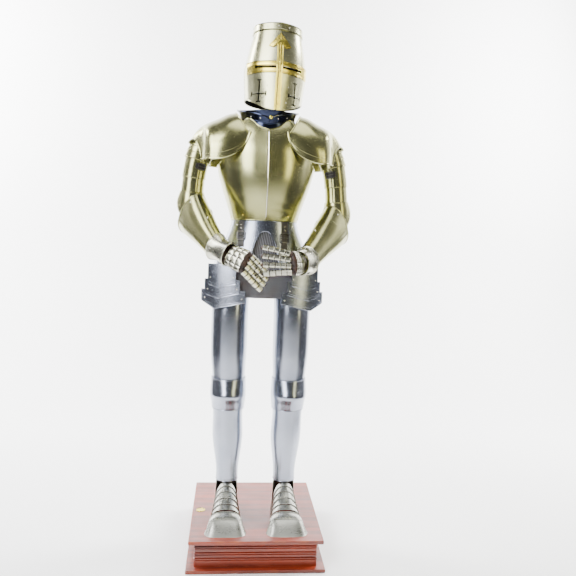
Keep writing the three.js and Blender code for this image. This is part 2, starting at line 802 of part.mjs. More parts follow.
// The places that each arm passes through, and how much its cuff is wider than the table of cuffs.
const ARMS = [
  {
    side: "right",
    sign: -1,
    shoulder: vec(-228, 2, 1473.7),
    bicep: vec(-254, 2, 1394),
    elbow: vec(-266, 4, 1262),
    forearm: vec(-262, -4, 1222),
    wrist: vec(-163, -160, 1098),
    knuckle: vec(-70, -236, 1062),
    row: vec(-0.66, 0.02, -0.75),
    finger: vec(0.7, -0.02, -0.71),
    spread: vec(0, 0, 0),
    cuff_fit: -0.8,
  },
  {
    side: "left",
    sign: 1,
    shoulder: vec(228, 2, 1474),
    bicep: vec(254, 2, 1386),
    elbow: vec(268, 4, 1240),
    forearm: vec(264, -4, 1200),
    wrist: vec(134, -178, 1060),
    knuckle: vec(90, -260, 1064),
    row: vec(0.24, 0.05, -0.97),
    finger: vec(-0.97, -0.06, 0.12),
    spread: vec(0, 0, 0.12),
    cuff_fit: 0.45,
  },
];

// The upper arm's plates are stretches of one sleeve along a curve from the elbow up to the
// shoulder, each a little further out than the one that it overlaps.
const SLEEVE = [
  { s: 0, front: 41, side: 43 },
  { s: 0.25, front: 39, side: 41.5 },
  { s: 0.6, front: 37, side: 39.5 },
  { s: 0.82, front: 38, side: 41 },
  { s: 1, front: 36, side: 39 },
];
const OVERLAP_STEP = ARM_PLATE + 2 * SEAM;
const SLEEVE_PLATES = [
  { name: "couter", from: 0, to: 0.3, layer: 1, up: 5, bulge: 5 },
  { name: "lower_cannon", from: 0.24, to: 0.56, layer: 0, up: 3, bulge: 0 },
  { name: "upper_cannon", from: 0.5, to: 0.8, layer: 1, up: 3, bulge: 0 },
  { name: "shoulder_lames", from: 0.75, to: 1, layer: 2, up: 4, bulge: 0 },
];

function upperArm({ side, shoulder, bicep, elbow, forearm }) {
  const line = new THREE.CatmullRomCurve3([forearm, elbow, bicep, shoulder]);
  for (const { name, from, to, layer, up, bulge } of SLEEVE_PLATES) {
    const sleeve = plate({
      at: (s, t) => {
        const place = lerp(from, to, s);
        const along = line.getTangentAt(place);
        const front = vec(0, -1, 0).addScaledVector(along, along.y).normalize();
        const beside = new THREE.Vector3().crossVectors(along, front);
        const out = layer * OVERLAP_STEP + bulge * Math.sin(Math.PI * s);
        const angle = 2 * Math.PI * t;
        return line
          .getPointAt(place)
          .addScaledVector(front, (follow(SLEEVE, "s", place, "front") + out) * Math.cos(angle))
          .addScaledVector(beside, (follow(SLEEVE, "s", place, "side") + out) * Math.sin(angle));
      },
      up,
      round: 12,
      thick: ARM_PLATE,
      closed: true,
    });
    add(`${name}_${side}`, sleeve, STEEL);
  }
}

const VAMBRACE = [
  { s: 0, tall: 84, wide: 49.9 },
  { s: 0.25, tall: 70, wide: 51 },
  { s: 0.6, tall: 51, wide: 44 },
  { s: 1, tall: 38, wide: 35 },
];
const CUFF = [
  { s: 0, tall: 49, wide: 45 },
  { s: 0.45, tall: 40.6, wide: 37.3 },
  { s: 1, tall: 42.7, wide: 33.2 },
];

function foreArm({ side, forearm, wrist, knuckle, cuff_fit }) {
  const vambrace = limb({ start: forearm, end: wrist, rows: VAMBRACE, up: 5, round: 16, thick: ARM_PLATE });
  add("vambrace_" + side, vambrace, STEEL);
  const cuff = limb({
    start: wrist.clone().lerp(forearm, 0.08),
    end: wrist.clone().lerp(knuckle, 0.42),
    rows: CUFF.map((row) => ({ ...row, tall: row.tall + cuff_fit, wide: row.wide + cuff_fit })),
    up: 3,
    round: 14,
    thick: ARM_PLATE,
  });
  add("gauntlet_cuff_" + side, cuff, STEEL);
}

// Hands: a leather glove, its hollow wrist open in the cuff, with a plate on the back of the hand
// and small scales down each finger
const PALM = { half: 40, deep: 13, wrist_half: 28, wrist_deep: 20.5 };
const FINGER = { length: 84, radius: 7.3, gap: 19.5, curl: 0.5 };
const SCALES = 4;

function handFrame({ wrist, knuckle, row }) {
  const along = knuckle.clone().sub(wrist).normalize();
  const across = row.clone().addScaledVector(along, -row.dot(along)).normalize();
  const back = new THREE.Vector3().crossVectors(across, along).normalize();
  if (back.y > 0) back.negate();
  return { along, across, back };
}

function ovalRing(centre, u, v, a, b, round) {
  const ring = [];
  for (let j = 0; j < round; j += 1) {
    const angle = (2 * Math.PI * j) / round;
    ring.push(
      centre.clone().addScaledVector(u, a * Math.cos(angle)).addScaledVector(v, b * Math.sin(angle)),
    );
  }
  return ring;
}

// The line of one finger, from the knuckle, straight along its direction and curling away from the
// back of the hand.
function fingerLine(arm, number) {
  const { across, back } = handFrame(arm);
  const offset = number - 1.5;
  const root = arm.knuckle.clone().addScaledVector(across, offset * FINGER.gap).addScaledVector(back, -6);
  const heading = arm.finger.clone().addScaledVector(arm.spread, 1.5 - number).normalize();
  return (s) =>
    root
      .clone()
      .addScaledVector(heading, FINGER.length * s)
      .addScaledVector(back, -FINGER.length * FINGER.curl * s * s * 0.5);
}

function alongLine(line, s, back) {
  const e = 0.01;
  const direction = line(s + e).sub(line(s - e)).normalize();
  const up = back.clone().addScaledVector(direction, -back.dot(direction)).normalize();
  const across = new THREE.Vector3().crossVectors(direction, up);
  return { centre: line(s), up, across, direction };
}

function orient(rings) {
  const solid = toSolid(loft(rings));
  if (solid.volume() > 0) return solid;
  return toSolid(loft(rings.map((ring) => [...ring].reverse())));
}

function hand(arm) {
  const { along, across, back } = handFrame(arm);
  const start = arm.wrist.clone().lerp(arm.knuckle, 0.16);
  const length = arm.knuckle.clone().sub(start);
  const palmRing = (s, shrink) => {
    const centre = start.clone().addScaledVector(length, s).addScaledVector(back, -4);
    const half = lerp(PALM.wrist_half, PALM.half, Math.min(s * 1.4, 1)) - shrink;
    const deep = lerp(PALM.wrist_deep, PALM.deep, s) - shrink;
    return ovalRing(centre, across, back, half, deep, 12);
  };
  const shares = [0, 0.3, 0.6, 0.9, 1.04];
  let glove = orient(shares.map((s) => palmRing(s, 0)));
  const hollow = orient([-0.1, 0.3, 0.6].map((s) => palmRing(s, LEATHER)));
  for (let number = 0; number < 4; number += 1) {
    const line = fingerLine(arm, number);
    const rings = [-0.03, 0.3, 0.65, 0.97, 1.02].map((s) => {
      const { centre, up, across: beside } = alongLine(line, s, back);
      const radius = s > 1 ? 3 : FINGER.radius - (s > 0.9 ? 1.4 : 0);
      return ovalRing(centre, up, beside, radius, radius, 6);
    });
    glove = glove.add(orient(rings));
    const scale = plate({
      at: (s, t) => {
        const place = s * SCALES;
        const k = Math.min(Math.floor(place), SCALES - 1);
        const { centre, up, across: beside } = alongLine(line, lerp(0.18, 0.97, s), back);
        const radius = FINGER.radius + 4 * SEAM + 0.7 + 0.9 * (1 - (place - k));
        const angle = rad(lerp(-78, 78, t));
        return centre
          .clone()
          .addScaledVector(up, radius * Math.cos(angle))
          .addScaledVector(beside, radius * Math.sin(angle));
      },
      up: SCALES * 2,
      round: 3,
      thick: 1.2,
    });
    add(`finger_scales_${arm.side}_${number + 1}`, scale, STEEL);
  }
  glove = glove.subtract(hollow);
  add("glove_" + arm.side, fromSolid(glove), GLOVE);
  const handPlate = plate({
    at: (s, t) => {
      const centre = start.clone().addScaledVector(length, lerp(0.34, 0.92, s)).addScaledVector(back, -4);
      const angle = rad(arm.sign > 0 ? lerp(8, 172, t) : lerp(172, 8, t));
      const half = lerp(PALM.wrist_half, PALM.half, Math.min(lerp(0.34, 0.92, s) * 1.4, 1)) + PLATE + 2 * SEAM;
      const deep = lerp(PALM.wrist_deep, PALM.deep, lerp(0.34, 0.92, s)) + PLATE + 2 * SEAM;
      return centre
        .clone()
        .addScaledVector(across, half * Math.cos(angle))
        .addScaledVector(back, deep * Math.sin(angle));
    },
    up: 3,
    round: 8,
    thick: PLATE,
  });
  add("hand_plate_" + arm.side, handPlate, STEEL);
}

plinth();
for (const [side, sign] of [
  ["right", -1],
  ["left", 1],
]) {
  sabaton(side, sign);
  leg(side, sign);
  tasset(side, sign);
  pauldron(side, sign);
}
torso();
fauld();
strap("waist_strap_right", -92, -74, 1112);
strap("waist_strap_left", 58, 78, 1104);
gorget();
helm();
for (const arm of ARMS) {
  upperArm(arm);
  foreArm(arm);
  hand(arm);
}

export default suit;
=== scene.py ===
# %% [markdown]
# # A suit of plate armour on a wooden plinth
#
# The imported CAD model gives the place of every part. Each plate is built again here as a smooth
# surface worked out with numpy, from the same tables of sizes as the solids, in millimetres:
# +Z is up, the suit faces -Y, and the origin is the middle of the plinth's underside.
# On the plates come the rolled edges, rivets, buckles and raised lines that the solids leave out.

import math

import bpy
import numpy as np
from mathutils import Matrix


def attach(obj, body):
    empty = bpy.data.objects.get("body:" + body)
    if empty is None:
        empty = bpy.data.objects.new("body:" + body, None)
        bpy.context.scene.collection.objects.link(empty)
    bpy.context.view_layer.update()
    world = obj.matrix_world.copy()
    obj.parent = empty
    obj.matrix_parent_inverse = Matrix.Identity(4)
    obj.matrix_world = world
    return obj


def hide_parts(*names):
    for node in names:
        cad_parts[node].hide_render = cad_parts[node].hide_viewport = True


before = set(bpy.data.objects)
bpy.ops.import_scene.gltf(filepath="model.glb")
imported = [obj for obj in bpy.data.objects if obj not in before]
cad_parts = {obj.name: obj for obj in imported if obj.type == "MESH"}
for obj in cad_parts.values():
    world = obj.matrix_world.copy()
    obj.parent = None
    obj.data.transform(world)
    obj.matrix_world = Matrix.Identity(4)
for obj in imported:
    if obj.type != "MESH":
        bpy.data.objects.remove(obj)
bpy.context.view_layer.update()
MM = 0.001

# %% [markdown]
# ## Camera
#
# The camera was fitted to the photograph. It looks a little down, from the height of the waist, and
# is turned a little about its own line of sight.

# %% Camera
CAMERA_AT = (-0.117, -2.293, 1.147)
FOCAL_PX = 620  # focal length in pixels of the photograph
PHOTO_PX = 576
YAW, PITCH, ROLL = (math.radians(a) for a in (5.35, -4.63, 2.2))

ahead = np.array([math.sin(YAW) * math.cos(PITCH), math.cos(YAW) * math.cos(PITCH), math.sin(PITCH)])
level = np.array([math.cos(YAW), -math.sin(YAW), 0.0])
above = np.cross(level, ahead)
across = level * math.cos(ROLL) + above * math.sin(ROLL)
upright = above * math.cos(ROLL) - level * math.sin(ROLL)
camera = bpy.data.objects.new("camera", bpy.data.cameras.new("camera"))
camera.data.sensor_width = 36
camera.data.lens = 36 * FOCAL_PX / PHOTO_PX
turn = np.eye(4)
turn[:3, 0], turn[:3, 1], turn[:3, 2], turn[:3, 3] = across, upright, -ahead, CAMERA_AT
camera.matrix_world = Matrix(turn.tolist())
bpy.context.scene.collection.objects.link(camera)
bpy.context.scene.camera = camera
print("camera: lens", round(camera.data.lens, 2), "mm")

# %% [markdown]
# ## Shader arithmetic
#
# Sock wraps the output of a shader node, so that a material is written as Python expressions.

# %% Shader arithmetic
class Sock:
    """An output of a shader node. Arithmetic adds Math nodes, and node() adds any other node."""

    def __init__(self, tree, output=None):
        self.tree = tree
        self.output = output

    def node(self, kind, inputs=None, out=0, **settings):
        made = self.tree.nodes.new("ShaderNode" + kind)
        for key, value in settings.items():
            setattr(made, key, value)
        for key, value in (inputs or {}).items():
            if isinstance(value, Sock):
                self.tree.links.new(value.output, made.inputs[key])
            else:
                made.inputs[key].default_value = value
        return Sock(self.tree, made.outputs[out])

    def maths(self, operation, *values):
        return self.node("Math", dict(enumerate(values)), operation=operation)

    def __add__(self, other):
        return self.maths("ADD", self, other)

    def __sub__(self, other):
        return self.maths("SUBTRACT", self, other)

    def __rsub__(self, other):
        return self.maths("SUBTRACT", other, self)

    def __mul__(self, other):
        return self.maths("MULTIPLY", self, other)

    def __truediv__(self, other):
        return self.maths("DIVIDE", self, other)

    def __pow__(self, other):
        return self.maths("POWER", self, other)

    __radd__ = __add__
    __rmul__ = __mul__


def noise(where, scale, detail=3.0, stretch=None):
    if stretch:
        where = where.node("Mapping", {"Vector": where, "Scale": stretch})
    return where.node("TexNoise", {"Vector": where, "Scale": scale, "Detail": detail})


def ramp(value, low, high, start=0.0, end=1.0):
    """Goes from start to end while the value goes from low to high, and stays there."""
    return value.node("MapRange", {0: value, 1: low, 2: high, 3: start, 4: end})


def blend(share, first, second):
    return share.node("Mix", {0: share, 6: first, 7: second}, out=2, data_type="RGBA")


def finish(name, look):
    """A material. look(root) gives the shader's inputs and a height in metres for its relief."""
    made = bpy.data.materials.new(name)
    made.use_nodes = True
    tree = made.node_tree
    tree.nodes.clear()
    root = Sock(tree)
    inputs, height = look(root)
    inputs["Normal"] = root.node("Bump", {"Height": height, "Distance": 1.0, "Strength": 1.0})
    surface = root.node("BsdfPrincipled", inputs)
    end = tree.nodes.new("ShaderNodeOutputMaterial")
    tree.links.new(surface.output, end.inputs["Surface"])
    return made


def place_of(root):
    return root.node("TexCoord", out=3)


def painted_on(root, name, out=1):
    """A value that the mesh carries at its points: out 1 is a vector, out 2 a number."""
    return root.node("Attribute", out=out, attribute_name=name)


print("shader arithmetic: ready")

# %% [markdown]
# ## Materials
#
# Each mesh carries two values at its points. `grain` holds the lengths along and up its plate, in
# metres, so that brushing and wood grain run along the piece. `edge` is the distance to the
# nearest edge of the plate, so that edges are rubbed bright, and on metal painted shade with some
# dirt lies just inside them.

# %% Metals
def metal(bright, deep, rough, hammered=1.6e-4, shade_and_dirt=0.22):
    """Polished plate: brushing along the plate, fine scratches, smears, a hammered wobble, rubbed edges,
    and painted shade with some dirt just inside the edges.
    """

    def look(root):
        place = place_of(root)
        grain = painted_on(root, "grain")
        edge = painted_on(root, "edge", 2)
        clouds = noise(place, 7.0, 4.0)
        smears = noise(place, 31.0, 5.0)
        brushing = noise(grain, 1.0, 2.0, (30.0, 1500.0, 1.0))
        lines = noise(grain, 1.0, 3.0, (900.0, 25.0, 1.0))
        scratch = ramp((lines - 0.5).maths("ABSOLUTE", lines - 0.5), 0.0, 0.012, 1.0, 0.0)
        scratch = scratch * ramp(noise(place, 13.0), 0.5, 0.62)
        specks = ramp(noise(place, 260.0, 2.0), 0.70, 0.78)
        rubbed = ramp(edge, 0.0, 0.004, 1.0, 0.0) * ramp(smears, 0.35, 0.6, 0.3, 1.0)
        # painted shade with some dirt: the plate is darker and rougher just inside every edge, where rims and
        # overlapping plates shade it
        edge_shade_and_dirt = ramp(edge, 0.002, 0.016, 1.0, 0.0) * ramp(clouds, 0.4, 0.65) * shade_and_dirt
        colour = blend(ramp(clouds, 0.25, 0.78), deep, bright)
        colour = blend(edge_shade_and_dirt, colour, tuple(0.35 * c for c in deep[:3]) + (1.0,))
        colour = blend(specks * 0.5, colour, (0.05, 0.035, 0.02, 1.0))
        colour = blend(rubbed * 0.6, colour, tuple(min(1.3 * c, 0.95) for c in bright[:3]) + (1.0,))
        worn = rough + brushing * 0.08 + ramp(smears, 0.4, 0.75, 0.0, 0.05) + edge_shade_and_dirt * 0.2 + specks * 0.25
        height = noise(place, 8.0, 1.0) * hammered + brushing * 4.0e-6 - scratch * 1.4e-5 - specks * 3.0e-5
        return {"Base Color": colour, "Roughness": worn, "Metallic": 1.0}, height

    return look


STEEL = finish("steel", metal((0.60, 0.59, 0.49, 1), (0.44, 0.43, 0.32, 1), 0.20))
STEEL_HELM = finish("steel_helm", metal((0.52, 0.51, 0.33, 1), (0.38, 0.37, 0.20, 1), 0.18))
STEEL_OLIVE = finish("steel_olive", metal((0.46, 0.45, 0.23, 1), (0.32, 0.31, 0.13, 1), 0.18))
STEEL_BLUE = finish("steel_blue", metal((0.38, 0.40, 0.46, 1), (0.25, 0.27, 0.33, 1), 0.18))
STEEL_GREY = finish("steel_grey", metal((0.42, 0.42, 0.38, 1), (0.29, 0.29, 0.25, 1), 0.22))
# painted shade: the inner faces of the helm are near-black steel, standing for the shade inside the helm
STEEL_INSIDE_PAINTED_SHADE = finish("steel_inside_painted_shade", metal((0.060, 0.055, 0.048, 1), (0.025, 0.023, 0.020, 1), 0.5))
STEEL_DARK = finish("steel_dark", metal((0.045, 0.055, 0.10, 1), (0.010, 0.012, 0.022, 1), 0.12, 2.0e-4))
BRASS = finish("brass", metal((0.80, 0.66, 0.13, 1), (0.50, 0.39, 0.055, 1), 0.15, 1.5e-4))
RIVET = finish("rivet_metal", metal((0.86, 0.84, 0.78, 1), (0.62, 0.58, 0.46, 1), 0.2, 5.0e-5, 0.2))
BUCKLE = finish("buckle_metal", metal((0.20, 0.19, 0.17, 1), (0.05, 0.05, 0.05, 1), 0.28, 5.0e-5, 0.3))
print("metals:", 10)

# %% [markdown]
# Mail is drawn as rows of rings: the height of a ring depends on how far a place is from the
# middle of its cell, and every other row is shifted by half a cell.

# %% Mail, leather and wood
RING = 0.0085  # pitch of the mail's rings


def mail_look(root):
    grain = painted_on(root, "grain")
    split = grain.node("SeparateXYZ", {0: grain})
    u = split / RING
    v = Sock(root.tree, split.output.node.outputs[1]) / RING

    def rings(shift_u, shift_v):
        row = (v + shift_v).maths("FLOOR", v + shift_v)
        shifted = u + shift_u + row * 0.5
        x = shifted.maths("FRACT", shifted) - 0.5
        level_v = v + shift_v
        y = level_v.maths("FRACT", level_v) - 0.5
        away = (x * x + y * y) ** 0.5
        off = away - 0.36
        return ramp(off.maths("ABSOLUTE", off), 0.0, 0.13, 1.0, 0.0)

    wires = rings(0.0, 0.0).maths("MAXIMUM", rings(0.0, 0.0), rings(0.25, 0.5))
    clouds = noise(place_of(root), 14.0, 4.0)
    # painted shade: between the wires the colour is near black, for the dark seen through the holes of the
    # mail
    colour = blend(wires, (0.006, 0.006, 0.008, 1), (0.26, 0.26, 0.28, 1))
    colour = blend(ramp(clouds, 0.5, 0.75) * 0.5, colour, (0.09, 0.05, 0.03, 1))
    rough = 0.75 - wires * 0.42 + clouds * 0.1
    return {"Base Color": colour, "Roughness": rough, "Metallic": wires * 0.9}, wires * 1.4e-3


def leather(dark, light, rough):
    def look(root):
        place = place_of(root)
        edge = painted_on(root, "edge", 2)
        cells = root.node("TexVoronoi", {"Vector": place, "Scale": 520.0})
        creases = noise(place, 60.0, 5.0)
        worn = ramp(edge, 0.0, 0.003, 1.0, 0.0) * ramp(creases, 0.4, 0.6)
        colour = blend(ramp(creases, 0.38, 0.66), dark, light)
        colour = blend(worn * 0.6, colour, tuple(2.2 * c for c in light[:3]) + (1.0,))
        height = cells * 1.6e-4 + ramp(creases, 0.42, 0.55) * 2.2e-4
        return {"Base Color": colour, "Roughness": rough + creases * 0.2 - worn * 0.1}, height

    return look


def wood_look(root):
    grain = painted_on(root, "grain")
    warp = noise(grain, 3.0, 3.0, (1.0, 6.0, 1.0))
    bands = noise(grain, 1.0, 4.0, (2.2, 60.0, 1.0))
    pores = noise(grain, 1.0, 2.0, (45.0, 1400.0, 1.0))
    smears = noise(place_of(root), 18.0, 5.0)
    figure = ramp(bands * 0.7 + warp * 0.5, 0.42, 0.78)
    colour = blend(figure, (0.065, 0.006, 0.002, 1), (0.27, 0.030, 0.005, 1))
    colour = blend(ramp(pores, 0.55, 0.72) * 0.55, colour, (0.07, 0.012, 0.006, 1))
    scuffs = ramp(painted_on(root, "edge", 2), 0.0, 0.004, 1.0, 0.0) * ramp(smears, 0.5, 0.64)
    colour = blend(scuffs * 0.5, colour, (0.36, 0.10, 0.03, 1))
    rough = 0.42 + ramp(smears, 0.4, 0.7) * 0.12 + scuffs * 0.2
    coat = 0.35 - scuffs * 0.3
    height = noise(grain, 1.0, 1.0, (8.0, 60.0, 1.0)) * 6.0e-5 - ramp(pores, 0.6, 0.75) * 2.0e-5
    return {"Base Color": colour, "Roughness": rough, "Coat Weight": coat, "Coat Roughness": 0.16}, height


MAIL = finish("mail", mail_look)
GLOVE = finish("glove_leather", leather((0.012, 0.005, 0.003, 1), (0.048, 0.018, 0.009, 1), 0.42))
STRAP = finish("strap_leather", leather((0.008, 0.007, 0.006, 1), (0.030, 0.024, 0.020, 1), 0.38))
WOOD = finish("plinth_wood", wood_look)
print("other materials:", 4)

# %% [markdown]
# ## Building blocks
#
# A surface is a function at(s, t) of whole arrays, where s runs up a plate and t runs round it,
# counterclockwise seen from above. A piece gathers shells, beads and studs into one mesh.

# %% Building blocks
def unit(v):
    return v / np.maximum(np.linalg.norm(v, axis=-1, keepdims=True), 1e-12)


def mix(a, b, share):
    return a + (b - a) * share


def vec(*columns):
    return np.stack(np.broadcast_arrays(*columns), axis=-1)


def follow(rows, place):
    """Columns of a table at any place between its rows.

    Between two rows each column is a cubic whose slope at a row is that of the chord between the
    rows beside it, so the curve passes smoothly through every row.
    """
    rows = np.asarray(rows, float)
    key, value = rows[:, 0], rows[:, 1:]
    last = len(key) - 1
    before = np.maximum(np.arange(last + 1) - 1, 0)
    after = np.minimum(np.arange(last + 1) + 1, last)
    slope = (value[after] - value[before]) / (key[after] - key[before])[:, None]
    place = np.clip(np.asarray(place, float), key[0], key[-1])
    i = np.clip(np.searchsorted(key, place, side="left") - 1, 0, last - 1)
    span = (key[i + 1] - key[i])[..., None]
    t = (place - key[i])[..., None] / span
    start = (2 * t**3 - 3 * t**2 + 1) * value[i] + (t**3 - 2 * t**2 + t) * span * slope[i]
    end = (3 * t**2 - 2 * t**3) * value[i + 1] + (t**3 - t**2) * span * slope[i + 1]
    return start + end


def touch(at, s, t, step=1e-3):
    """Points of a surface and its outward normals: the normal is the direction round the plate
    crossed with the direction up it, both taken as small differences."""
    s, t = np.broadcast_arrays(np.asarray(s, float), np.asarray(t, float))
    along = at(s, np.minimum(t + step, 1)) - at(s, np.maximum(t - step, 0))
    upward = at(np.minimum(s + step, 1), t) - at(np.maximum(s - step, 0), t)
    return at(s, t), unit(np.cross(along, upward))


def flip(at):
    """The same surface on the other side of the suit."""
    return lambda s, t: at(s, 1 - t) * np.array([-1.0, 1.0, 1.0])


def quads(rows, columns, closed):
    """Corners of the squares of a grid, with the last column joined to the first if closed."""
    i, j = np.meshgrid(np.arange(rows - 1), np.arange(columns if closed else columns - 1), indexing="ij")
    k = (j + 1) % columns
    return np.stack([i * columns + j, i * columns + k, (i + 1) * columns + k, (i + 1) * columns + j], axis=-1)


HELM_TURN, HELM_LEAN, HELM_ASIDE, HELM_PIVOT, HELM_FOOT = 3.5, 2.2, 14, 22, 1579.7


def helm_pose(points):
    """The helm is turned about its upright axis, set aside, and leans about the foot of its ridge."""
    turn_by, lean = math.radians(HELM_TURN), math.radians(HELM_LEAN)
    x, y, z = points[:, 0], points[:, 1], points[:, 2] - HELM_FOOT
    x, y = x * math.cos(turn_by) - y * math.sin(turn_by), x * math.sin(turn_by) + y * math.cos(turn_by)
    x = x + HELM_ASIDE - HELM_PIVOT
    x, z = x * math.cos(lean) + z * math.sin(lean), z * math.cos(lean) - x * math.sin(lean)
    return vec(x + HELM_PIVOT, y, z + HELM_FOOT)


class Piece:
    """One object of the scene: gathers surfaces in millimetres, and makes one mesh of them."""

    made = 0
    faces_made = 0

    def __init__(self, name):
        self.name = name
        self.points, self.faces, self.looks, self.grain, self.edge = [], [], [], [], []
        self.count = 0

    def add(self, points, faces, look=0, grain=None, edge=None):
        points = points.reshape(-1, 3)
        spread = np.zeros((len(points), 3)) if grain is None else grain.reshape(-1, 3)
        self.points.append(points)
        self.grain.append(spread + 0.37 * (Piece.made % 17))
        self.edge.append(np.full(len(points), 20.0) if edge is None else edge.ravel())
        self.faces += [(f + self.count) for f in faces]
        self.looks += [np.full(len(f), look) for f in faces]
        self.count += len(points)

    def shell(self, outer, normal, thick, closed=False, keep=None, look=0, floor=None, inside=None):
        """A wall with this outer face. keep marks the squares of the grid that are there: an
        edge of a kept square that borders on none is closed with a rim. inside is the look of the
        inner face, if it has its own."""
        rows, columns = outer.shape[:2]
        inner = outer - normal * thick
        if floor is not None:
            inner[..., 2] = np.maximum(inner[..., 2], floor)
        cells = quads(rows, columns, closed)
        keep = np.ones(cells.shape[:2], bool) if keep is None else keep
        size = rows * columns
        front = cells[keep]
        faces = [front, front[:, ::-1] + size]
        gone = np.zeros((keep.shape[0] + 2, keep.shape[1] + 2), bool)
        gone[1:-1, 1:-1] = keep
        if closed:
            gone[1:-1, 0], gone[1:-1, -1] = keep[:, -1], keep[:, 0]
        sides = (
            (gone[:-2, 1:-1], 0, 1),
            (gone[2:, 1:-1], 2, 3),
            (gone[1:-1, 2:], 1, 2),
            (gone[1:-1, :-2], 3, 0),
        )
        for beside, a, b in sides:
            open_side = cells[keep & ~beside]
            rim = [open_side[:, b], open_side[:, a], open_side[:, a] + size, open_side[:, b] + size]
            faces.append(np.stack(rim, axis=-1))
        around = np.linalg.norm(np.diff(outer, axis=1, prepend=outer[:, :1]), axis=-1).cumsum(axis=1)
        upward = np.linalg.norm(np.diff(outer, axis=0, prepend=outer[:1]), axis=-1).cumsum(axis=0)
        edge = np.minimum(upward, upward[-1:] - upward)
        if not closed:
            edge = np.minimum(edge, np.minimum(around, around[:, -1:] - around))
        grain = vec(around, upward, np.zeros_like(around)) * MM
        both = np.concatenate([outer.reshape(-1, 3), inner.reshape(-1, 3)])
        self.add(both, faces, look, np.concatenate([grain, grain]), np.concatenate([edge, edge]))
        if inside is not None:
            self.looks[1 - len(faces)][:] = inside

    def plate(self, at, up, round_, thick, closed=False, rows=None, look=0, floor=None, inside=None):
        s = np.linspace(0, 1, up + 1) if rows is None else np.asarray(rows, float)
        t = np.linspace(0, 1, round_ + 1)
        t = t[:-1] if closed else t
        outer, normal = touch(at, s[:, None], t[None, :])
        self.shell(outer, normal, thick, closed, None, look, floor, inside)

    def bead(self, path, radius, closed=False, look=0, sides=8):
        """A round bar along a path. Its ring stands across the path, with one axis turned away
        from the middle of the path."""
        path = np.asarray(path, float)
        after = np.roll(path, -1, axis=0)
        before = np.roll(path, 1, axis=0)
        if not closed:
            after[-1], before[0] = path[-1], path[0]
        along = unit(after - before)
        away = path - path.mean(axis=0) + np.array([1e-3, 2e-3, 3e-3])
        first = unit(away - (away * along).sum(axis=-1, keepdims=True) * along)
        second = np.cross(along, first)
        angle = np.linspace(0, 2 * np.pi, sides, endpoint=False)[None, :, None]
        rings = path[:, None] + radius * (np.cos(angle) * first[:, None] + np.sin(angle) * second[:, None])
        if closed:
            rings = np.concatenate([rings, rings[:1]])
        length = np.linalg.norm(np.diff(rings, axis=0, prepend=rings[:1]), axis=-1).cumsum(axis=0)
        grain = vec(length, np.zeros_like(length), np.zeros_like(length)) * MM
        self.add(rings, list(quads(len(rings), sides, True)), look, grain)
        if not closed:
            last = (len(rings) - 1) * sides
            caps = np.arange(sides)[None]
            self.faces += [caps[:, ::-1] + self.count - len(rings) * sides]
            self.faces += [caps + last + self.count - len(rings) * sides]
            self.looks += [np.full(1, look), np.full(1, look)]

    def studs(self, places, normals, radius, height, look=0, sides=12, rings=4):
        """Domes: rings that shrink with the cosine while they rise with the sine."""
        places, normals = np.atleast_2d(places), unit(np.atleast_2d(normals))
        first = unit(np.cross(normals, np.array([0.31, 0.43, 0.85])))
        second = np.cross(normals, first)
        lift = np.linspace(0, np.pi / 2 * 0.94, rings)[None, :, None, None]
        angle = np.linspace(0, 2 * np.pi, sides, endpoint=False)[None, None, :, None]
        flat = np.cos(angle) * first[:, None, None] + np.sin(angle) * second[:, None, None]
        dome = places[:, None, None] + radius * np.cos(lift) * flat
        dome = dome + (height * np.sin(lift) - 0.2) * normals[:, None, None]
        cells = quads(rings, sides, True).reshape(-1, 4)
        base = (np.arange(len(places)) * rings * sides)[:, None, None]
        top = np.arange(sides)[None, None] + (rings - 1) * sides
        self.add(dome, [(cells[None] + base).reshape(-1, 4), (top + base).reshape(-1, sides)], look)

    def make(self, nodes, looks, body="suit", pose=None):
        mesh = bpy.data.meshes.new(self.name)
        points = np.concatenate(self.points)
        points = (pose(points) if pose else points) * MM
        sizes = np.concatenate([np.full(len(f), f.shape[-1]) for f in self.faces])
        loops = np.concatenate([np.asarray(f).ravel() for f in self.faces])
        mesh.vertices.add(len(points))
        mesh.vertices.foreach_set("co", points.ravel())
        mesh.loops.add(len(loops))
        mesh.loops.foreach_set("vertex_index", loops)
        mesh.polygons.add(len(sizes))
        mesh.polygons.foreach_set("loop_start", np.concatenate([[0], sizes.cumsum()[:-1]]))
        mesh.polygons.foreach_set("material_index", np.concatenate(self.looks))
        for look in looks:
            mesh.materials.append(look)
        grain = mesh.attributes.new("grain", "FLOAT_VECTOR", "POINT")
        grain.data.foreach_set("vector", np.concatenate(self.grain).ravel())
        edge = mesh.attributes.new("edge", "FLOAT", "POINT")
        edge.data.foreach_set("value", np.concatenate(self.edge) * MM)
        mesh.update(calc_edges=True)
        mesh.validate()
        mesh.shade_smooth()
        mesh.set_sharp_from_angle(angle=math.radians(32))
        made = bpy.data.objects.new(self.name, mesh)
        bpy.context.scene.collection.objects.link(made)
        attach(made, body)
        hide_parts(*nodes)
        Piece.made += 1
        Piece.faces_made += int((sizes - 2).sum())
        return made


print("building blocks: ready")

# %% [markdown]
# ## Floor and light
#
# A pale floor that sweeps up behind the suit, a large cool light from the left and a warm one from
# the right. The world is grey. Two dark boards beside the set, which only reflections show, draw the
# dark sides of the plates.

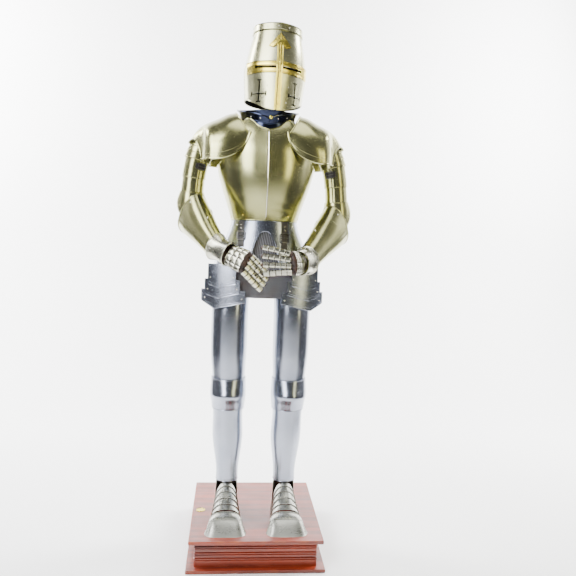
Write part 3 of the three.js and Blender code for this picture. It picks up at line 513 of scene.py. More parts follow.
# %% Floor and light
def sweep():
    """A sheet that lies flat, and behind y = 1.3 m rises along a quarter circle of 1.2 m."""
    mesh = bpy.data.meshes.new("studio_floor")
    angle = np.linspace(0, np.pi / 2, 24)
    y = np.concatenate([[-6.0], 1.3 + 1.2 * np.sin(angle), [2.5]])
    z = np.concatenate([[0.0], 1.2 - 1.2 * np.cos(angle), [6.0]])
    x = np.array([-7.0, 7.0])
    points = vec(x[None, :], y[:, None], z[:, None])
    mesh.from_pydata(points.reshape(-1, 3).tolist(), [], quads(len(y), 2, False).reshape(-1, 4).tolist())
    mesh.shade_smooth()
    floor = bpy.data.objects.new("studio_floor", mesh)
    bpy.context.scene.collection.objects.link(floor)
    paint = bpy.data.materials.new("studio_floor")
    paint.use_nodes = True
    shader = paint.node_tree.nodes["Principled BSDF"]
    shader.inputs["Base Color"].default_value = (0.93, 0.93, 0.93, 1)
    shader.inputs["Roughness"].default_value = 0.7
    mesh.materials.append(paint)


def softbox(name, at, aim, size, power, colour):
    data = bpy.data.lights.new(name, "AREA")
    data.shape = "RECTANGLE"
    data.size, data.size_y = size
    data.energy = power
    data.color = colour
    lamp = bpy.data.objects.new(name, data)
    back = unit(np.subtract(at, aim))
    side = unit(np.cross((0, 0, 1), back))
    pose = np.eye(4)
    pose[:3, 0], pose[:3, 1], pose[:3, 2], pose[:3, 3] = side, np.cross(back, side), back, at
    lamp.matrix_world = Matrix(pose.tolist())
    bpy.context.scene.collection.objects.link(lamp)


def flag(name, x, y):
    """A dark upright board beside the set: the plates reflect it as the dark side of their curves."""
    mesh = bpy.data.meshes.new(name)
    points = vec(x, np.array(y)[None, :], np.array([0.02, 2.5])[:, None])
    mesh.from_pydata(points.reshape(-1, 3).tolist(), [], quads(2, 2, False).reshape(-1, 4).tolist())
    board = bpy.data.objects.new(name, mesh)
    bpy.context.scene.collection.objects.link(board)
    board.visible_camera = board.visible_diffuse = board.visible_shadow = False
    paint = bpy.data.materials.new(name)
    paint.use_nodes = True
    shader = paint.node_tree.nodes["Principled BSDF"]
    shader.inputs["Base Color"].default_value = (0.012, 0.012, 0.016, 1)
    shader.inputs["Roughness"].default_value = 0.8
    mesh.materials.append(paint)


sweep()
flag("flag_left", -1.55, (-0.9, 1.3))
flag("flag_right", 1.35, (-1.0, 0.85))
softbox("key_left", (-1.9, -2.2, 2.2), (0, 0, 1.25), (1.1, 2.2), 105, (0.96, 0.98, 1.0))
softbox("high_left", (-2.2, -1.4, 3.6), (0, 0, 1.7), (1.8, 1.6), 120, (0.97, 0.98, 1.0))
softbox("fill_right", (2.3, -2.0, 1.9), (0, 0, 1.1), (0.7, 2.2), 30, (1.0, 0.93, 0.50))
softbox("top", (0.3, -0.3, 3.6), (0, 0, 1.0), (1.6, 1.6), 34, (1, 1, 1))
softbox("backdrop_left", (-2.6, 1.35, 2.4), (0.4, 2.5, 1.4), (1.2, 2.4), 400, (1, 1, 1))
softbox("backdrop_right", (2.6, 1.0, 2.4), (-0.4, 2.5, 1.4), (1.2, 2.4), 400, (1, 1, 1))
world = bpy.data.worlds.new("studio")
world.use_nodes = True
world.node_tree.nodes["Background"].inputs["Color"].default_value = (0.62, 0.64, 0.66, 1)
world.node_tree.nodes["Background"].inputs["Strength"].default_value = 0.24
bpy.context.scene.world = world
print("stage: floor, 2 boards and 6 lights")

# %% [markdown]
# ## Plinth
#
# Three boards whose upright outline is a moulding run round a rectangle with slightly rounded
# corners. The body has rounded reeds between its grooves.

# %% Plinth
def moulding(piece, width, depth, profile, corner=3.0, fan=5):
    """profile holds (height, inset) pairs. Each ring is a rectangle whose corners are quarter
    circles about a middle that lies `corner` inside both sides."""
    profile = np.asarray(profile, float)
    angle = np.linspace(0, np.pi / 2, fan)[None, :] + (np.arange(4) * np.pi / 2)[:, None]
    sign_x = np.array([1, -1, -1, 1])[:, None]
    sign_y = np.array([1, 1, -1, -1])[:, None]
    x = sign_x * (width / 2 - corner) + corner * np.cos(angle)
    y = sign_y * (depth / 2 - corner) + corner * np.sin(angle)
    ring = np.stack([x, y], axis=-1).reshape(1, -1, 2)
    shrink = np.array([width / 2, depth / 2])
    outline = ring * (1 - profile[:, 1][:, None, None] / shrink)
    points = vec(outline[..., 0], outline[..., 1], profile[:, 0][:, None])
    length = np.where(np.abs(ring[..., 1]) > depth / 2 - corner - 0.1, ring[..., 0], ring[..., 1])
    grain = vec(np.broadcast_to(length, points.shape[:2]), points[..., 2], 0) * MM
    faces = [quads(len(profile), ring.shape[1], True).reshape(-1, 4)]
    edge = np.broadcast_to(np.minimum(profile[:, 0] - profile[0, 0], profile[-1, 0] - profile[:, 0])[:, None],
                           points.shape[:2])
    piece.add(points, faces, 0, grain, edge)
    for row, turned in ((0, True), (len(profile) - 1, False)):
        flat = points[row]
        middle = flat.mean(axis=0)
        share = np.linspace(0, 1, 9)[:, None, None]
        disc = mix(middle, flat[None], share)
        cap = quads(9, len(flat), True).reshape(-1, 4)
        cap = cap if turned else cap[:, ::-1]
        gap = (1 - share[..., 0]) * width / 2 + 0 * disc[..., 0]
        piece.add(disc, [cap], 0, vec(disc[..., 0], disc[..., 1], 0) * MM, gap)


def rounded(low, high, radius=2.0):
    """The upright outline of a board with rounded upper and lower arrises."""
    turn_by = np.linspace(0, np.pi / 2, 5)
    lower = [(low + radius * (1 - math.sin(a)), radius * (1 - math.cos(a))) for a in turn_by[::-1]]
    upper = [(high - radius * (1 - math.sin(a)), radius * (1 - math.cos(a))) for a in turn_by]
    return lower + upper


bottom = Piece("plinth_bottom_visual")
moulding(bottom, 480, 530, rounded(0, 12))
bottom.make(["plinth_bottom_board"], [WOOD])

reeds = [(12, 0.0)]
GROOVES = (34, 42, 54, 62, 76, 84)  # heights of the groove floors
REEDS = (38, 58, 80)  # heights of the middles of the reeds between them
REED_HALF, REED_OUT, GROOVE_DEEP, GROOVE_WIDE = 4, 1.4, 3.5, 1.1
height_at = np.linspace(12.5, 97.5, 171)
cut = GROOVE_DEEP * np.exp(-((height_at[:, None] - np.array(GROOVES)) / GROOVE_WIDE) ** 2).sum(axis=1)
swell = np.zeros_like(height_at)
for centre in REEDS:
    swell += REED_OUT * np.sqrt(np.clip(1 - ((height_at - centre) / REED_HALF) ** 2, 0, 1))
reeds += [(float(z), float(d)) for z, d in zip(height_at, cut - swell)]
reeds.append((98, 0.0))
body_board = Piece("plinth_body_visual")
moulding(body_board, 424, 474, reeds)
body_board.make(["plinth_body"], [WOOD])

top = Piece("plinth_top_visual")
moulding(top, 465, 515, rounded(98, 110, 2.5))
DISC_AT, DISC_RADIUS = np.array([[-202.0, -7.0, 110.0]]), 17.5
top.studs(DISC_AT, np.array([[0.0, 0.0, 1.0]]), DISC_RADIUS, 1.2, look=1, sides=40, rings=6)
circle = np.linspace(0, 2 * np.pi, 40, endpoint=False)
top.bead(DISC_AT + (DISC_RADIUS - 2) * vec(np.cos(circle), np.sin(circle), 0) + [0, 0, 0.9], 0.8, True, 1)
top.make(["plinth_top_board"], [WOOD, BRASS])
print("plinth: 3 boards and a plain disc")

# %% [markdown]
# ## Sabatons
#
# Arches over the foot. The half-width, rise and lengthwise places follow a table along the foot,
# and each lame grows a little towards its front edge, so that it steps over the next.

# %% Sabatons
SOLE, STANCE = 110.3, 108
INSTEP = [
    (0, 43, 122, -6, -38, 0.85),
    (0.35, 46, 103, -45, -72, 0.85),
    (0.7, 50, 76, -88, -107, 0.8),
    (1, 54, 57, -132, -140, 0.7),
]
TOE = [(0, 56.5, 54, -132, -141, 0.7), (0.5, 61, 42, -160, -178, 0.42), (1, 73, 0, -194, -228, 0.42)]
LAMES = 5


def arch(table, out=0.0):
    """x is the half-width times the cosine raised to a power, z the rise times the sine raised to it."""

    def at(s, t):
        half, rise, side, ridge, power = np.moveaxis(follow(table, s), -1, 0)
        angle = np.pi * t
        sine = np.maximum(np.sin(angle), 0)
        lift = out(s) if callable(out) else out
        x = (half + lift) * np.sign(np.cos(angle)) * np.abs(np.cos(angle)) ** power
        z = SOLE + np.maximum(rise + lift * (s < 0.999), 0) * sine**power
        return vec(STANCE + x, mix(side, ridge, sine), z)

    return at


def sabatons(side, turned):
    place = flip if turned else (lambda at: at)
    lames = Piece("sabaton_lames_visual_" + side)
    for k in range(LAMES):
        low, high = (k + 0.02) / LAMES, (k + 0.99) / LAMES
        at = place(arch(INSTEP, lambda s, k=k: 2.4 * (s * LAMES - k)))
        rows = np.linspace(low, high, 6)
        lames.plate(at, 0, 44, 1.6, rows=rows, floor=SOLE)
        t = np.linspace(0, 1, 45)
        lames.bead(at(np.full(45, high), t), 0.9)
        spots = np.array([0.05, 0.10, 0.90, 0.95])
        lames.studs(*touch(at, np.full(4, mix(low, high, 0.5)), spots), 2.2, 1.6, look=1)
    lames.make(["sabaton_lames_" + side], [STEEL_GREY, RIVET])

    toe = Piece("sabaton_toe_visual_" + side)
    at = place(arch(TOE))
    toe.plate(at, 36, 60, 2, floor=SOLE)
    t = np.linspace(0, 1, 61)
    toe.bead(at(np.full(61, 0.012), t), 1.3)
    toe.bead(at(np.full(61, 0.52), t)[6:-6] - [0, 0, 0.4], 1.1)
    spots = np.concatenate([np.linspace(0.035, 0.13, 5), np.linspace(0.87, 0.965, 5)])
    toe.studs(*touch(at, np.full(10, 0.2), spots), 2.3, 1.7, look=1)
    toe.make(["sabaton_toe_" + side], [STEEL_GREY, RIVET])

    def heel_at(s, t):
        """Half an ellipse round the heel, which narrows upwards."""
        angle = np.radians(mix(-6, 186, t))
        return vec(
            STANCE + (44 - 5 * s) * np.cos(angle), 2 + mix(64, 40, s) * np.sin(angle), SOLE + 122 * s
        )

    heel = Piece("sabaton_heel_visual_" + side)
    at = place(heel_at)
    heel.plate(at, 20, 48, 2, floor=SOLE)
    heel.bead(at(np.full(49, 0.995), np.linspace(0, 1, 49)), 1.1)
    heel.studs(*touch(at, np.linspace(0.12, 0.88, 5), np.full(5, 0.03)), 2.2, 1.6, look=1)
    heel.studs(*touch(at, np.linspace(0.12, 0.88, 5), np.full(5, 0.97)), 2.2, 1.6, look=1)
    heel.make(["sabaton_heel_" + side], [STEEL_GREY, RIVET])


sabatons("left", False)
sabatons("right", True)
print("sabatons:", Piece.made, "pieces so far")

# %% [markdown]
# ## Legs
#
# Upright tubes: greave, poleyn and cuisse, each an ellipse whose middle and half-axes follow a
# table by height, with rolled ends.

# %% Legs
GREAVE = [(232.6, 108, 1, 41, 43), (280, 108, 4, 42, 46), (390, 110, 12, 56, 62), (480, 112, 4, 55, 58),
          (520, 112, 0, 56, 58)]
POLEYN = [(508, 112, 0, 59.5, 61.5), (535, 112, -3, 63, 70), (562, 113, -7, 66, 80), (592, 113, -4, 65, 73),
          (622, 113, 0, 63.4, 66.4)]
CUISSE = [(608, 113, 0, 59.8, 62.4), (630, 113, 0, 60.2, 63), (720, 115, 0, 66, 73), (850, 115, 0, 67, 76),
          (960, 113, 0, 66.9, 66)]


def tube(table, ridge):
    """An ellipse by height, with a soft ridge of this height down its front."""
    low, high = table[0][0], table[-1][0]

    def at(s, t):
        z = mix(low, high, s)
        cx, cy, rx, ry = np.moveaxis(follow(table, z), -1, 0)
        angle = 2 * np.pi * t
        front = np.exp(-(((t - 0.75) * 16) ** 2)) * ridge * np.sin(np.pi * np.clip(s, 0, 1)) ** 0.5
        return vec(cx + rx * np.cos(angle), cy + (ry + front) * np.sin(angle), z)

    return at


def legs(side, turned):
    place = flip if turned else (lambda at: at)
    for name, table, ridge, up in (("greave_", GREAVE, 2.5, 40), ("poleyn_", POLEYN, 3.0, 28),
                                   ("cuisse_", CUISSE, 0.0, 40)):
        piece = Piece(name + "visual_" + side)
        at = place(tube(table, ridge))
        piece.plate(at, up, 64, 2, closed=True)
        ring = np.arange(64) / 64
        piece.bead(at(np.full(64, 0.003), ring), 1.2, True)
        piece.bead(at(np.full(64, 0.997), ring), 1.2, True)
        high = np.linspace(0.1, 0.9, 6)
        piece.studs(*touch(at, high, np.full(6, 0.47)), 2.2, 1.5, look=1)
        piece.studs(*touch(at, high, np.full(6, 0.03)), 2.2, 1.5, look=1)
        piece.make([name + side], [STEEL_BLUE, RIVET])


legs("left", False)
legs("right", True)
print("legs:", Piece.made, "pieces so far")

# %% [markdown]
# ## Torso
#
# Half-width and depth follow a table by height, and the angle runs round the body. The upper edge
# is the neckline, the shoulder and the armhole. A thin raised line runs down the middle.

# %% Torso
WAIST = 1205
TORSO = [(1205, 121, 108, 94), (1260, 138, 130, 104), (1320, 158, 148, 118), (1380, 174, 156, 129),
         (1430, 178, 154, 133), (1480, 172, 142, 130), (1520, 158, 126, 118), (1560, 136, 104, 100)]
SKIRT = [(1020, 187, 142, 132), (1060, 174, 133, 124), (1113, 152, 120, 112), (1170, 128, 109, 98),
         (1208, 118, 105, 91)]
MAIL_SKIRT = [(930, 187, 118, 108), (1022, 182, 121, 110), (1113, 146.5, 112, 104),
              (1180, 121.6, 104.2, 93.2)]
TOP_EDGE = [(0, 1514, 1556), (40, 1527, 1557), (75, 1550, 1559), (100, 1553, 1556), (118, 1520, 1524),
            (135, 1462, 1470), (160, 1412, 1420), (180, 1392, 1392)]


def body_point(table, z, angle, out=0.0):
    half, front, back = np.moveaxis(follow(table, z), -1, 0)
    sine = np.sin(angle)
    depth = np.where(sine < 0, front, back) + out
    return vec((half + out) * np.cos(angle), depth * sine, z)


def half_torso(start, end, column, keel):
    def at(s, t):
        angle = np.radians(mix(start, end, t))
        top_z = follow(TOP_EDGE, np.abs(178 * np.cos(angle)))[..., column]
        point = body_point(TORSO, mix(WAIST, top_z, s), angle)
        x, z = point[..., 0], point[..., 2]
        if keel:
            ridge = 5 * np.maximum(1 - np.abs(x) / 40, 0) ** 2
            crease = 2.2 * np.exp(-(((z - 1236) / 9) ** 2) - ((x - 62) / 40) ** 2)
            crease += 1.6 * np.exp(-(((z - 1262 + 0.3 * (x - 62)) / 8) ** 2) - ((x - 70) / 34) ** 2)
            point[..., 1] -= ridge - crease
        return point

    return at


def edges(piece, at, radius, sides="bdlr", count=81, look=0):
    """Rolled edges: along the bottom, the top, the left end and the right end."""
    span = np.linspace(0, 1, count)
    none, whole = 0 * span, 0 * span + 1
    lines = {"b": (none, span), "d": (whole, span), "l": (span, none), "r": (span, whole)}
    for side in sides:
        piece.bead(at(*lines[side]), radius, look=look)


front = Piece("breastplate_visual")
at = half_torso(180.12, 359.88, 0, True)
front.plate(at, 60, 96, 2)
edges(front, at, 2.4, "d", 121)
edges(front, at, 1.5, "b", 121)
line = np.linspace(0.035, 0.97, 60)
front.bead(at(line, np.full(60, 0.5)), 2.3, look=2)
front.studs(*touch(at, np.array([0.05, 0.05, 0.05]), np.array([0.28, 0.72, 0.94])), 3.2, 2.2, look=1)
front.studs(*touch(at, np.array([0.05]), np.array([0.06])), 3.2, 2.2, look=1)
front.make(["breastplate"], [STEEL_OLIVE, BRASS, RIVET])

back = Piece("backplate_visual")
at = half_torso(0.12, 179.88, 1, False)
back.plate(at, 60, 96, 2)
edges(back, at, 2.4, "d", 121)
edges(back, at, 1.5, "b", 121)
back.studs(*touch(at, np.full(4, 0.05), np.array([0.06, 0.28, 0.72, 0.94])), 3.2, 2.2, look=1)
back.make(["backplate"], [STEEL_OLIVE, BRASS])
print("torso:", Piece.made, "pieces so far")

# %% [markdown]
# ## Fauld, mail and straps
#
# The fauld's lower edge rises into an arch in the middle of the front: its height over the edge is
# the share across the arch, raised to powers that square the arch's shoulders.

# %% Fauld, mail and straps
FAULD_LOW, ARCH_TOP, ARCH_HALF = 1022, 1167, 46


def half_fauld(start, end, arched):
    def at(s, t):
        angle = np.radians(mix(start, end, t))
        share = np.minimum(np.abs(150 * np.cos(angle)) / ARCH_HALF, 1)
        low = FAULD_LOW + (ARCH_TOP - FAULD_LOW) * (1 - share**2.6) ** 0.45 * arched
        return body_point(SKIRT, mix(low, WAIST - 0.3, s), angle, -0.3)

    return at


def squeezed(count):
    """Places from 0 to 1 that lie close together at both sides of the arch."""
    t = np.linspace(0, 1, count)
    return t - 0.055 * np.sin(6 * np.pi * (t - 0.5)) / 1.3


for name, start, end, arched in (("fauld_front", 180.12, 359.88, 1), ("fauld_back", 0.12, 179.88, 0)):
    piece = Piece(name + "_visual")
    at = half_fauld(start, end, arched)
    s, t = np.linspace(0, 1, 33)[:, None], squeezed(141)[None, :]
    outer, normal = touch(at, s, t, 2e-4)
    piece.shell(outer, normal, 2)
    piece.bead(outer[0], 1.7)
    piece.bead(at(np.full(121, 0.985), np.linspace(0, 1, 121)), 1.4)
    spots = np.array([0.04, 0.2, 0.8, 0.96])
    piece.studs(*touch(at, np.full(4, 0.9), spots), 2.6, 1.8, look=1)
    piece.make([name], [STEEL_BLUE, RIVET])

mail = Piece("mail_skirt_visual")


def mail_at(s, t):
    """The mail hangs in soft folds: a small wave round the skirt that grows downwards."""
    angle = 2 * np.pi * t
    wave = 2.0 * np.sin(22 * angle + 1.5 * np.sin(3 * angle)) * (1 - s) ** 1.5
    return body_point(MAIL_SKIRT, mix(930, 1180, s), angle, wave - 1.2)


mail.plate(mail_at, 40, 320, 2.4, closed=True)
hung = mail.make(["mail_skirt"], [MAIL])


def strap_at(from_x, to_x, low, lift):
    def at(s, t):
        z = mix(low, WAIST - 4, s)
        x = mix(from_x, to_x, t)
        wide = follow(SKIRT, z)[..., 0]
        return body_point(SKIRT, z, 2 * np.pi - np.arccos(np.clip(x / wide, -1, 1)), lift)

    return at


def buckle(piece, at, s_mid, s_half, t_mid, t_half, look, wire=1.6):
    """A frame with rounded corners, laid on a surface, and its pin."""
    turn_by = np.linspace(0, 2 * np.pi, 40, endpoint=False)
    power = 0.35
    across_t = np.sign(np.cos(turn_by)) * np.abs(np.cos(turn_by)) ** power
    across_s = np.sign(np.sin(turn_by)) * np.abs(np.sin(turn_by)) ** power
    path, normal = touch(at, s_mid + s_half * across_s, t_mid + t_half * across_t)
    piece.bead(path + normal * wire, wire, True, look)
    pin, normal = touch(at, np.full(8, s_mid), np.linspace(t_mid - t_half, t_mid + t_half, 8))
    piece.bead(pin + normal * wire * 1.6, wire * 0.7, False, look)


for side, from_x, to_x, low in (("right", -92, -74, 1112), ("left", 58, 78, 1104)):
    piece = Piece("waist_strap_visual_" + side)
    at = strap_at(from_x, to_x, low, 3.4)
    piece.plate(at, 30, 8, 2.5)
    piece.bead(at(np.full(9, 0.01), np.linspace(0, 1, 9)), 1.25)
    buckle(piece, at, 0.42, 0.16, 0.5, 0.75, 1, 2.0)
    piece.studs(*touch(at, np.array([0.72, 0.84]), np.array([0.5, 0.5])), 2.4, 1.6, look=2)
    piece.make(["waist_strap_" + side], [STRAP, BUCKLE, RIVET])
print("waist:", Piece.made, "pieces so far")

# %% [markdown]
# ## Tassets
#
# Three lames a side, each on a wide ellipse round the hip, with a pointed lower edge.

# %% Tassets
TASSETS = [(1046, 98, 158, 196, 978, 962, 974), (992, 84, 166, 207, 945, 924, 940),
           (954, 64, 172, 219, 914, 888, 914)]


def tasset_at(number):
    top_z, inner, point, outer, low_inner, low_point, low_outer = TASSETS[number]
    behind = number * 2.9

    def at(s, t):
        x = mix(inner, outer, t)
        low = np.interp(x, (inner, point, outer), (low_inner, low_point, low_outer))
        z = mix(low, top_z, s)
        depth = 134 - behind + 0.06 * (1022 - z)
        return vec(x, -depth * np.sqrt(1 - (x / (244 - 1.4 * behind)) ** 2), z)

    return at


def tassets(side, turned):
    for number in range(3):
        piece = Piece(f"tasset_visual_{side}_{number + 1}")
        at = tasset_at(number)
        point = TASSETS[number][2]
        knee = (point - TASSETS[number][1]) / (TASSETS[number][3] - TASSETS[number][1])
        at = flip(at) if turned else at
        knee = 1 - knee if turned else knee
        t = np.unique(np.concatenate([np.linspace(0, knee, 20), np.linspace(knee, 1, 14)]))
        outer, normal = touch(at, np.linspace(0, 1, 16)[:, None], t[None, :])
        piece.shell(outer, normal, 2)
        piece.bead(outer[0] + normal[0] * 0.2, 1.5)
        piece.bead(outer[2] + normal[2] * 0.1, 0.7)
        edges(piece, at, 1.1, "lr", 12)
        piece.studs(*touch(at, np.full(2, 0.35), np.array([0.08, 0.92])), 2.5, 1.8, look=1)
        piece.make([f"tasset_{side}_{number + 1}"], [STEEL_BLUE, RIVET])


tassets("left", False)
tassets("right", True)
print("tassets:", Piece.made, "pieces so far")

# %% [markdown]
# ## Gorget
#
# A closed ring that flares to a collar. Its lower part drops to a V in front, and the collar's rim
# is level there, because the helm turns on it.

# %% Gorget
GORGET = [(0, 1492, 45, 106.8, 123.8, 98.5), (0.35, 1531, 36, 98.8, 119.8, 96.5),
          (0.45, 1536, 36, 98, 122, 96), (0.7, 1555, 28, 101, 129, 100), (1, 1578.5, 21, 110, 139.5, 116)]


def gorget_at(s, t):
    angle = 2 * np.pi * t
    sine = np.sin(angle)
    away = np.arccos(np.clip(-sine, -1, 1)) / (np.pi / 2)
    z, rise, half, front_depth, back_depth = np.moveaxis(follow(GORGET, s), -1, 0)
    level_rim = np.clip((away - 0.36) / 0.64, 0, 1) ** 1.5
    rim_share = np.clip((s - 0.7) / 0.3, 0, 1) ** 2
    vee = mix(np.minimum(away, 1), level_rim, rim_share)
    return vec(half * np.cos(angle), np.where(sine < 0, front_depth, back_depth) * sine, z + rise * vee)


gorget = Piece("gorget_visual")
gorget.plate(gorget_at, 40, 128, 2, closed=True)
around = np.arange(128) / 128
gorget.bead(gorget_at(np.full(128, 0.985), around), 1.5, True)
gorget.bead(gorget_at(np.full(128, 0.43), around), 1.1, True)
gorget.bead(gorget_at(np.linspace(0.46, 0.6, 8), np.full(8, 0.75)), 1.2)
front_half = np.linspace(0.5, 1.0, 61)
from_ridge = np.abs(front_half - 0.75) / 0.25
gorget.bead(gorget_at(mix(0.66, 0.98, from_ridge**0.8), front_half), 3.6)
stud_place, stud_normal = touch(gorget_at, np.array([0.70]), np.array([0.758]))
gorget.studs(stud_place, stud_normal, 7.5, 5.5, look=1, sides=24, rings=6)
pin, pin_normal = touch(gorget_at, np.linspace(0.72, 0.80, 8), np.linspace(0.764, 0.795, 8))
gorget.bead(pin + pin_normal * 4.0, 1.3, look=2)
gorget.studs(*touch(gorget_at, np.full(4, 0.6), np.array([0.64, 0.70, 0.80, 0.86])), 2.2, 1.6, look=2)
gorget.make(["gorget"], [STEEL_DARK, BRASS, RIVET])

# %% [markdown]
# ## Helm
#
# The depth of the helm's front is mostly that of a squared ellipse and partly that of a straight
# ridge. Its grid has lines just where the eye slits and breathing crosses are cut, and the squares
# inside them are left out.

# %% Helm
HELM = [(1570, 101, 138, 112), (1642, 104, 137, 115), (1726, 111, 135, 120), (1754, 107, 130, 119),
        (1800, 98.5, 119, 112), (1860, 86, 102, 98), (1898, 81.5, 96, 92)]
HELM_BASE, EYE, SEAM, SHELL_TOP, CROWN_RIM = 1579.7, 1726, 1860, 1874, 1884
SLIT_NEAR, SLIT_FAR, SLIT_HALF = 8, 79, 4
CROSS_X, CROSS_Z, ARM, UP, DOWN, BAR, SERIF = 62, 1636, 25, 48, 29, 4.5, 8


def helm_point(z, angle, out=0.0):
    half, keel, back_depth = np.moveaxis(follow(HELM, z), -1, 0)
    cosine, sine = np.cos(angle), np.sin(angle)
    away = np.minimum(np.abs(cosine), 1)
    full = (1 - away**2.6) ** (1 / 2.6)
    front_y = -(keel + out) * mix(full, 1 - away, 0.26)
    return vec((half + out) * cosine, np.where(sine < 0, front_y, (back_depth + out) * sine), z)


def helm_low(angle):
    away = np.abs(np.cos(angle))
    return HELM_BASE + 46 * np.where(np.sin(angle) < 0, away**2, 1)


def helm_front(x, z, out=0.0):
    """Point of the front at a distance x from the middle. The side has x equal to the half-width."""
    half = follow(HELM, z)[..., 0]
    return helm_point(z, 2 * np.pi - np.arccos(np.clip(x / half, -1, 1)), out)


arms_x = [CROSS_X + d for d in (-ARM, -ARM + BAR, -SERIF, -BAR / 2, BAR / 2, SERIF, ARM - BAR, ARM)]
lines_x = np.array(sorted({0, 3, 5.5, SLIT_NEAR, 14, 20, 27, 33, SLIT_FAR} | set(arms_x)))
lines_x = np.concatenate([-lines_x[:0:-1], lines_x])
cross_steps = (-DOWN, -DOWN + BAR, -16, -SERIF, -BAR / 2, BAR / 2, SERIF, 18, 30, UP - BAR, UP)
lines_z = {CROSS_Z + d for d in cross_steps} | {1697, 1706, 1714, EYE - SLIT_HALF, EYE + SLIT_HALF, 1738}
lines_z = sorted(lines_z | {1746, 1760, 1775, 1790, 1805, 1820, 1835, 1848, SEAM, 1867, SHELL_TOP})
rows_z = np.array(lines_z)
half_z = follow(HELM, rows_z)[:, 0]
squeeze = np.where(rows_z < 1760, 1, half_z / follow(HELM, np.array([1760.0]))[0, 0])
inner_cos = lines_x[None, :] * squeeze[:, None] / half_z[:, None]
limit = np.arccos(inner_cos[:, -1])[:, None]
outer_cos = np.cos(limit * np.linspace(1, 0, 15)[None, 1:])
cosines = np.concatenate([-outer_cos[:, ::-1], inner_cos, outer_cos], axis=1)
angles = 2 * np.pi - np.arccos(np.clip(cosines, -1, 1))
angles[:, 0], angles[:, -1] = np.pi + 0.0026, 2 * np.pi - 0.0026
heights = np.broadcast_to(rows_z[:, None], angles.shape)
skirt_rows = 7
skirt_low = helm_low(angles[0])
skirt_top = rows_z[0] - 1.5
share = np.linspace(0, 1, skirt_rows)[:, None]
skirt_z = mix(np.minimum(skirt_low, skirt_top - 0.5), skirt_top, share)
angles = np.concatenate([np.broadcast_to(angles[0], skirt_z.shape), angles])
heights = np.maximum(np.concatenate([skirt_z, heights]), helm_low(angles))
outer = helm_point(heights, angles)
step_angle, step_z = 1e-3, 0.2
next_angles = np.minimum(angles + step_angle, 2 * np.pi)
normal = unit(np.cross(
    helm_point(heights, next_angles) - helm_point(heights, angles - step_angle),
    helm_point(heights + step_z, angles) - helm_point(heights - step_z, angles),
))
mid_x = np.abs(outer[:-1, :-1, 0] + outer[1:, 1:, 0]) / 2
mid_z = (heights[:-1, :-1] + heights[1:, 1:]) / 2
thin = heights[1:, :-1] - heights[:-1, :-1] < 0.05
dx, dz = mid_x - CROSS_X, mid_z - CROSS_Z
bars = (np.abs(dx) < BAR / 2) & (dz > -DOWN) & (dz < UP)
bars |= (np.abs(dz) < BAR / 2) & (np.abs(dx) < ARM)
bars |= (np.abs(dx) < SERIF) & (((dz > UP - BAR) & (dz < UP)) | ((dz > -DOWN) & (dz < -DOWN + BAR)))
bars |= (np.abs(dz) < SERIF) & (np.abs(dx) > ARM - BAR) & (np.abs(dx) < ARM)
slits = (np.abs(mid_z - EYE) < SLIT_HALF) & (mid_x > SLIT_NEAR) & (mid_x < SLIT_FAR)
front = Piece("helm_front_visual")
front.shell(outer, normal, 2, keep=~(bars | slits | thin), inside=2)


def front_wall(s, t):
    angle = np.radians(mix(180.15, 359.85, t))
    return helm_point(mix(helm_low(angle), SHELL_TOP, s), angle)


low_edge = np.linspace(0, 1, 121)
front.bead(front_wall(0 * low_edge + 0.006, low_edge), 1.5)
side_z = np.linspace(0.08, 0.94, 9)
front.studs(*touch(front_wall, side_z, np.full(9, 0.028)), 2.8, 2.0, look=1)
front.studs(*touch(front_wall, side_z, np.full(9, 0.972)), 2.8, 2.0, look=1)


def on_front(x, z, out=0.0, step=0.3):
    """Points of the helm's front at places (x, z), and the normals there."""
    x, z = np.asarray(x, float), np.asarray(z, float)
    along = helm_front(x + step, z) - helm_front(x - step, z)
    upward = helm_front(x, z + step) - helm_front(x, z - step)
    normal = unit(np.cross(along, upward))
    return helm_front(x, z) + normal * out, normal


dots = np.array([[36, 1662], [-36, 1662], [32, 1610], [-32, 1610]])
front.studs(*on_front(dots[:, 0], dots[:, 1]), 1.6, 1.1, look=1)
front.make(["helm_front"], [STEEL_HELM, RIVET, STEEL_INSIDE_PAINTED_SHADE], "helm", helm_pose)

back = Piece("helm_back_visual")


def back_wall(s, t):
    angle = np.radians(mix(0.15, 179.85, t))
    return helm_point(mix(helm_low(angle), SHELL_TOP, s), angle)


back.plate(back_wall, 48, 80, 2, inside=2)
back.bead(back_wall(0 * low_edge + 0.004, low_edge), 1.5)
back.studs(*touch(back_wall, np.full(9, 0.03), np.linspace(0.06, 0.94, 9)), 2.4, 1.7, look=1)
back.make(["helm_back"], [STEEL_HELM, RIVET, STEEL_INSIDE_PAINTED_SHADE], "helm", helm_pose)

crown = Piece("helm_crown_visual")


def crown_at(s, t):
    """An upright rim for the first half, then a shallow dome that closes in on the middle."""
    angle = 2 * np.pi * t
    rim = helm_point(np.minimum(mix(SEAM, CROWN_RIM, s * 2), CROWN_RIM), angle, 3.3)
    inward = np.clip((s - 0.5) * 2, 0, 0.995)
    point = rim * (1 - vec(inward, inward, 0 * inward))
    point[..., 2] = np.where(s > 0.5, CROWN_RIM + 7 * np.sin(inward * np.pi / 2), rim[..., 2])
    return point


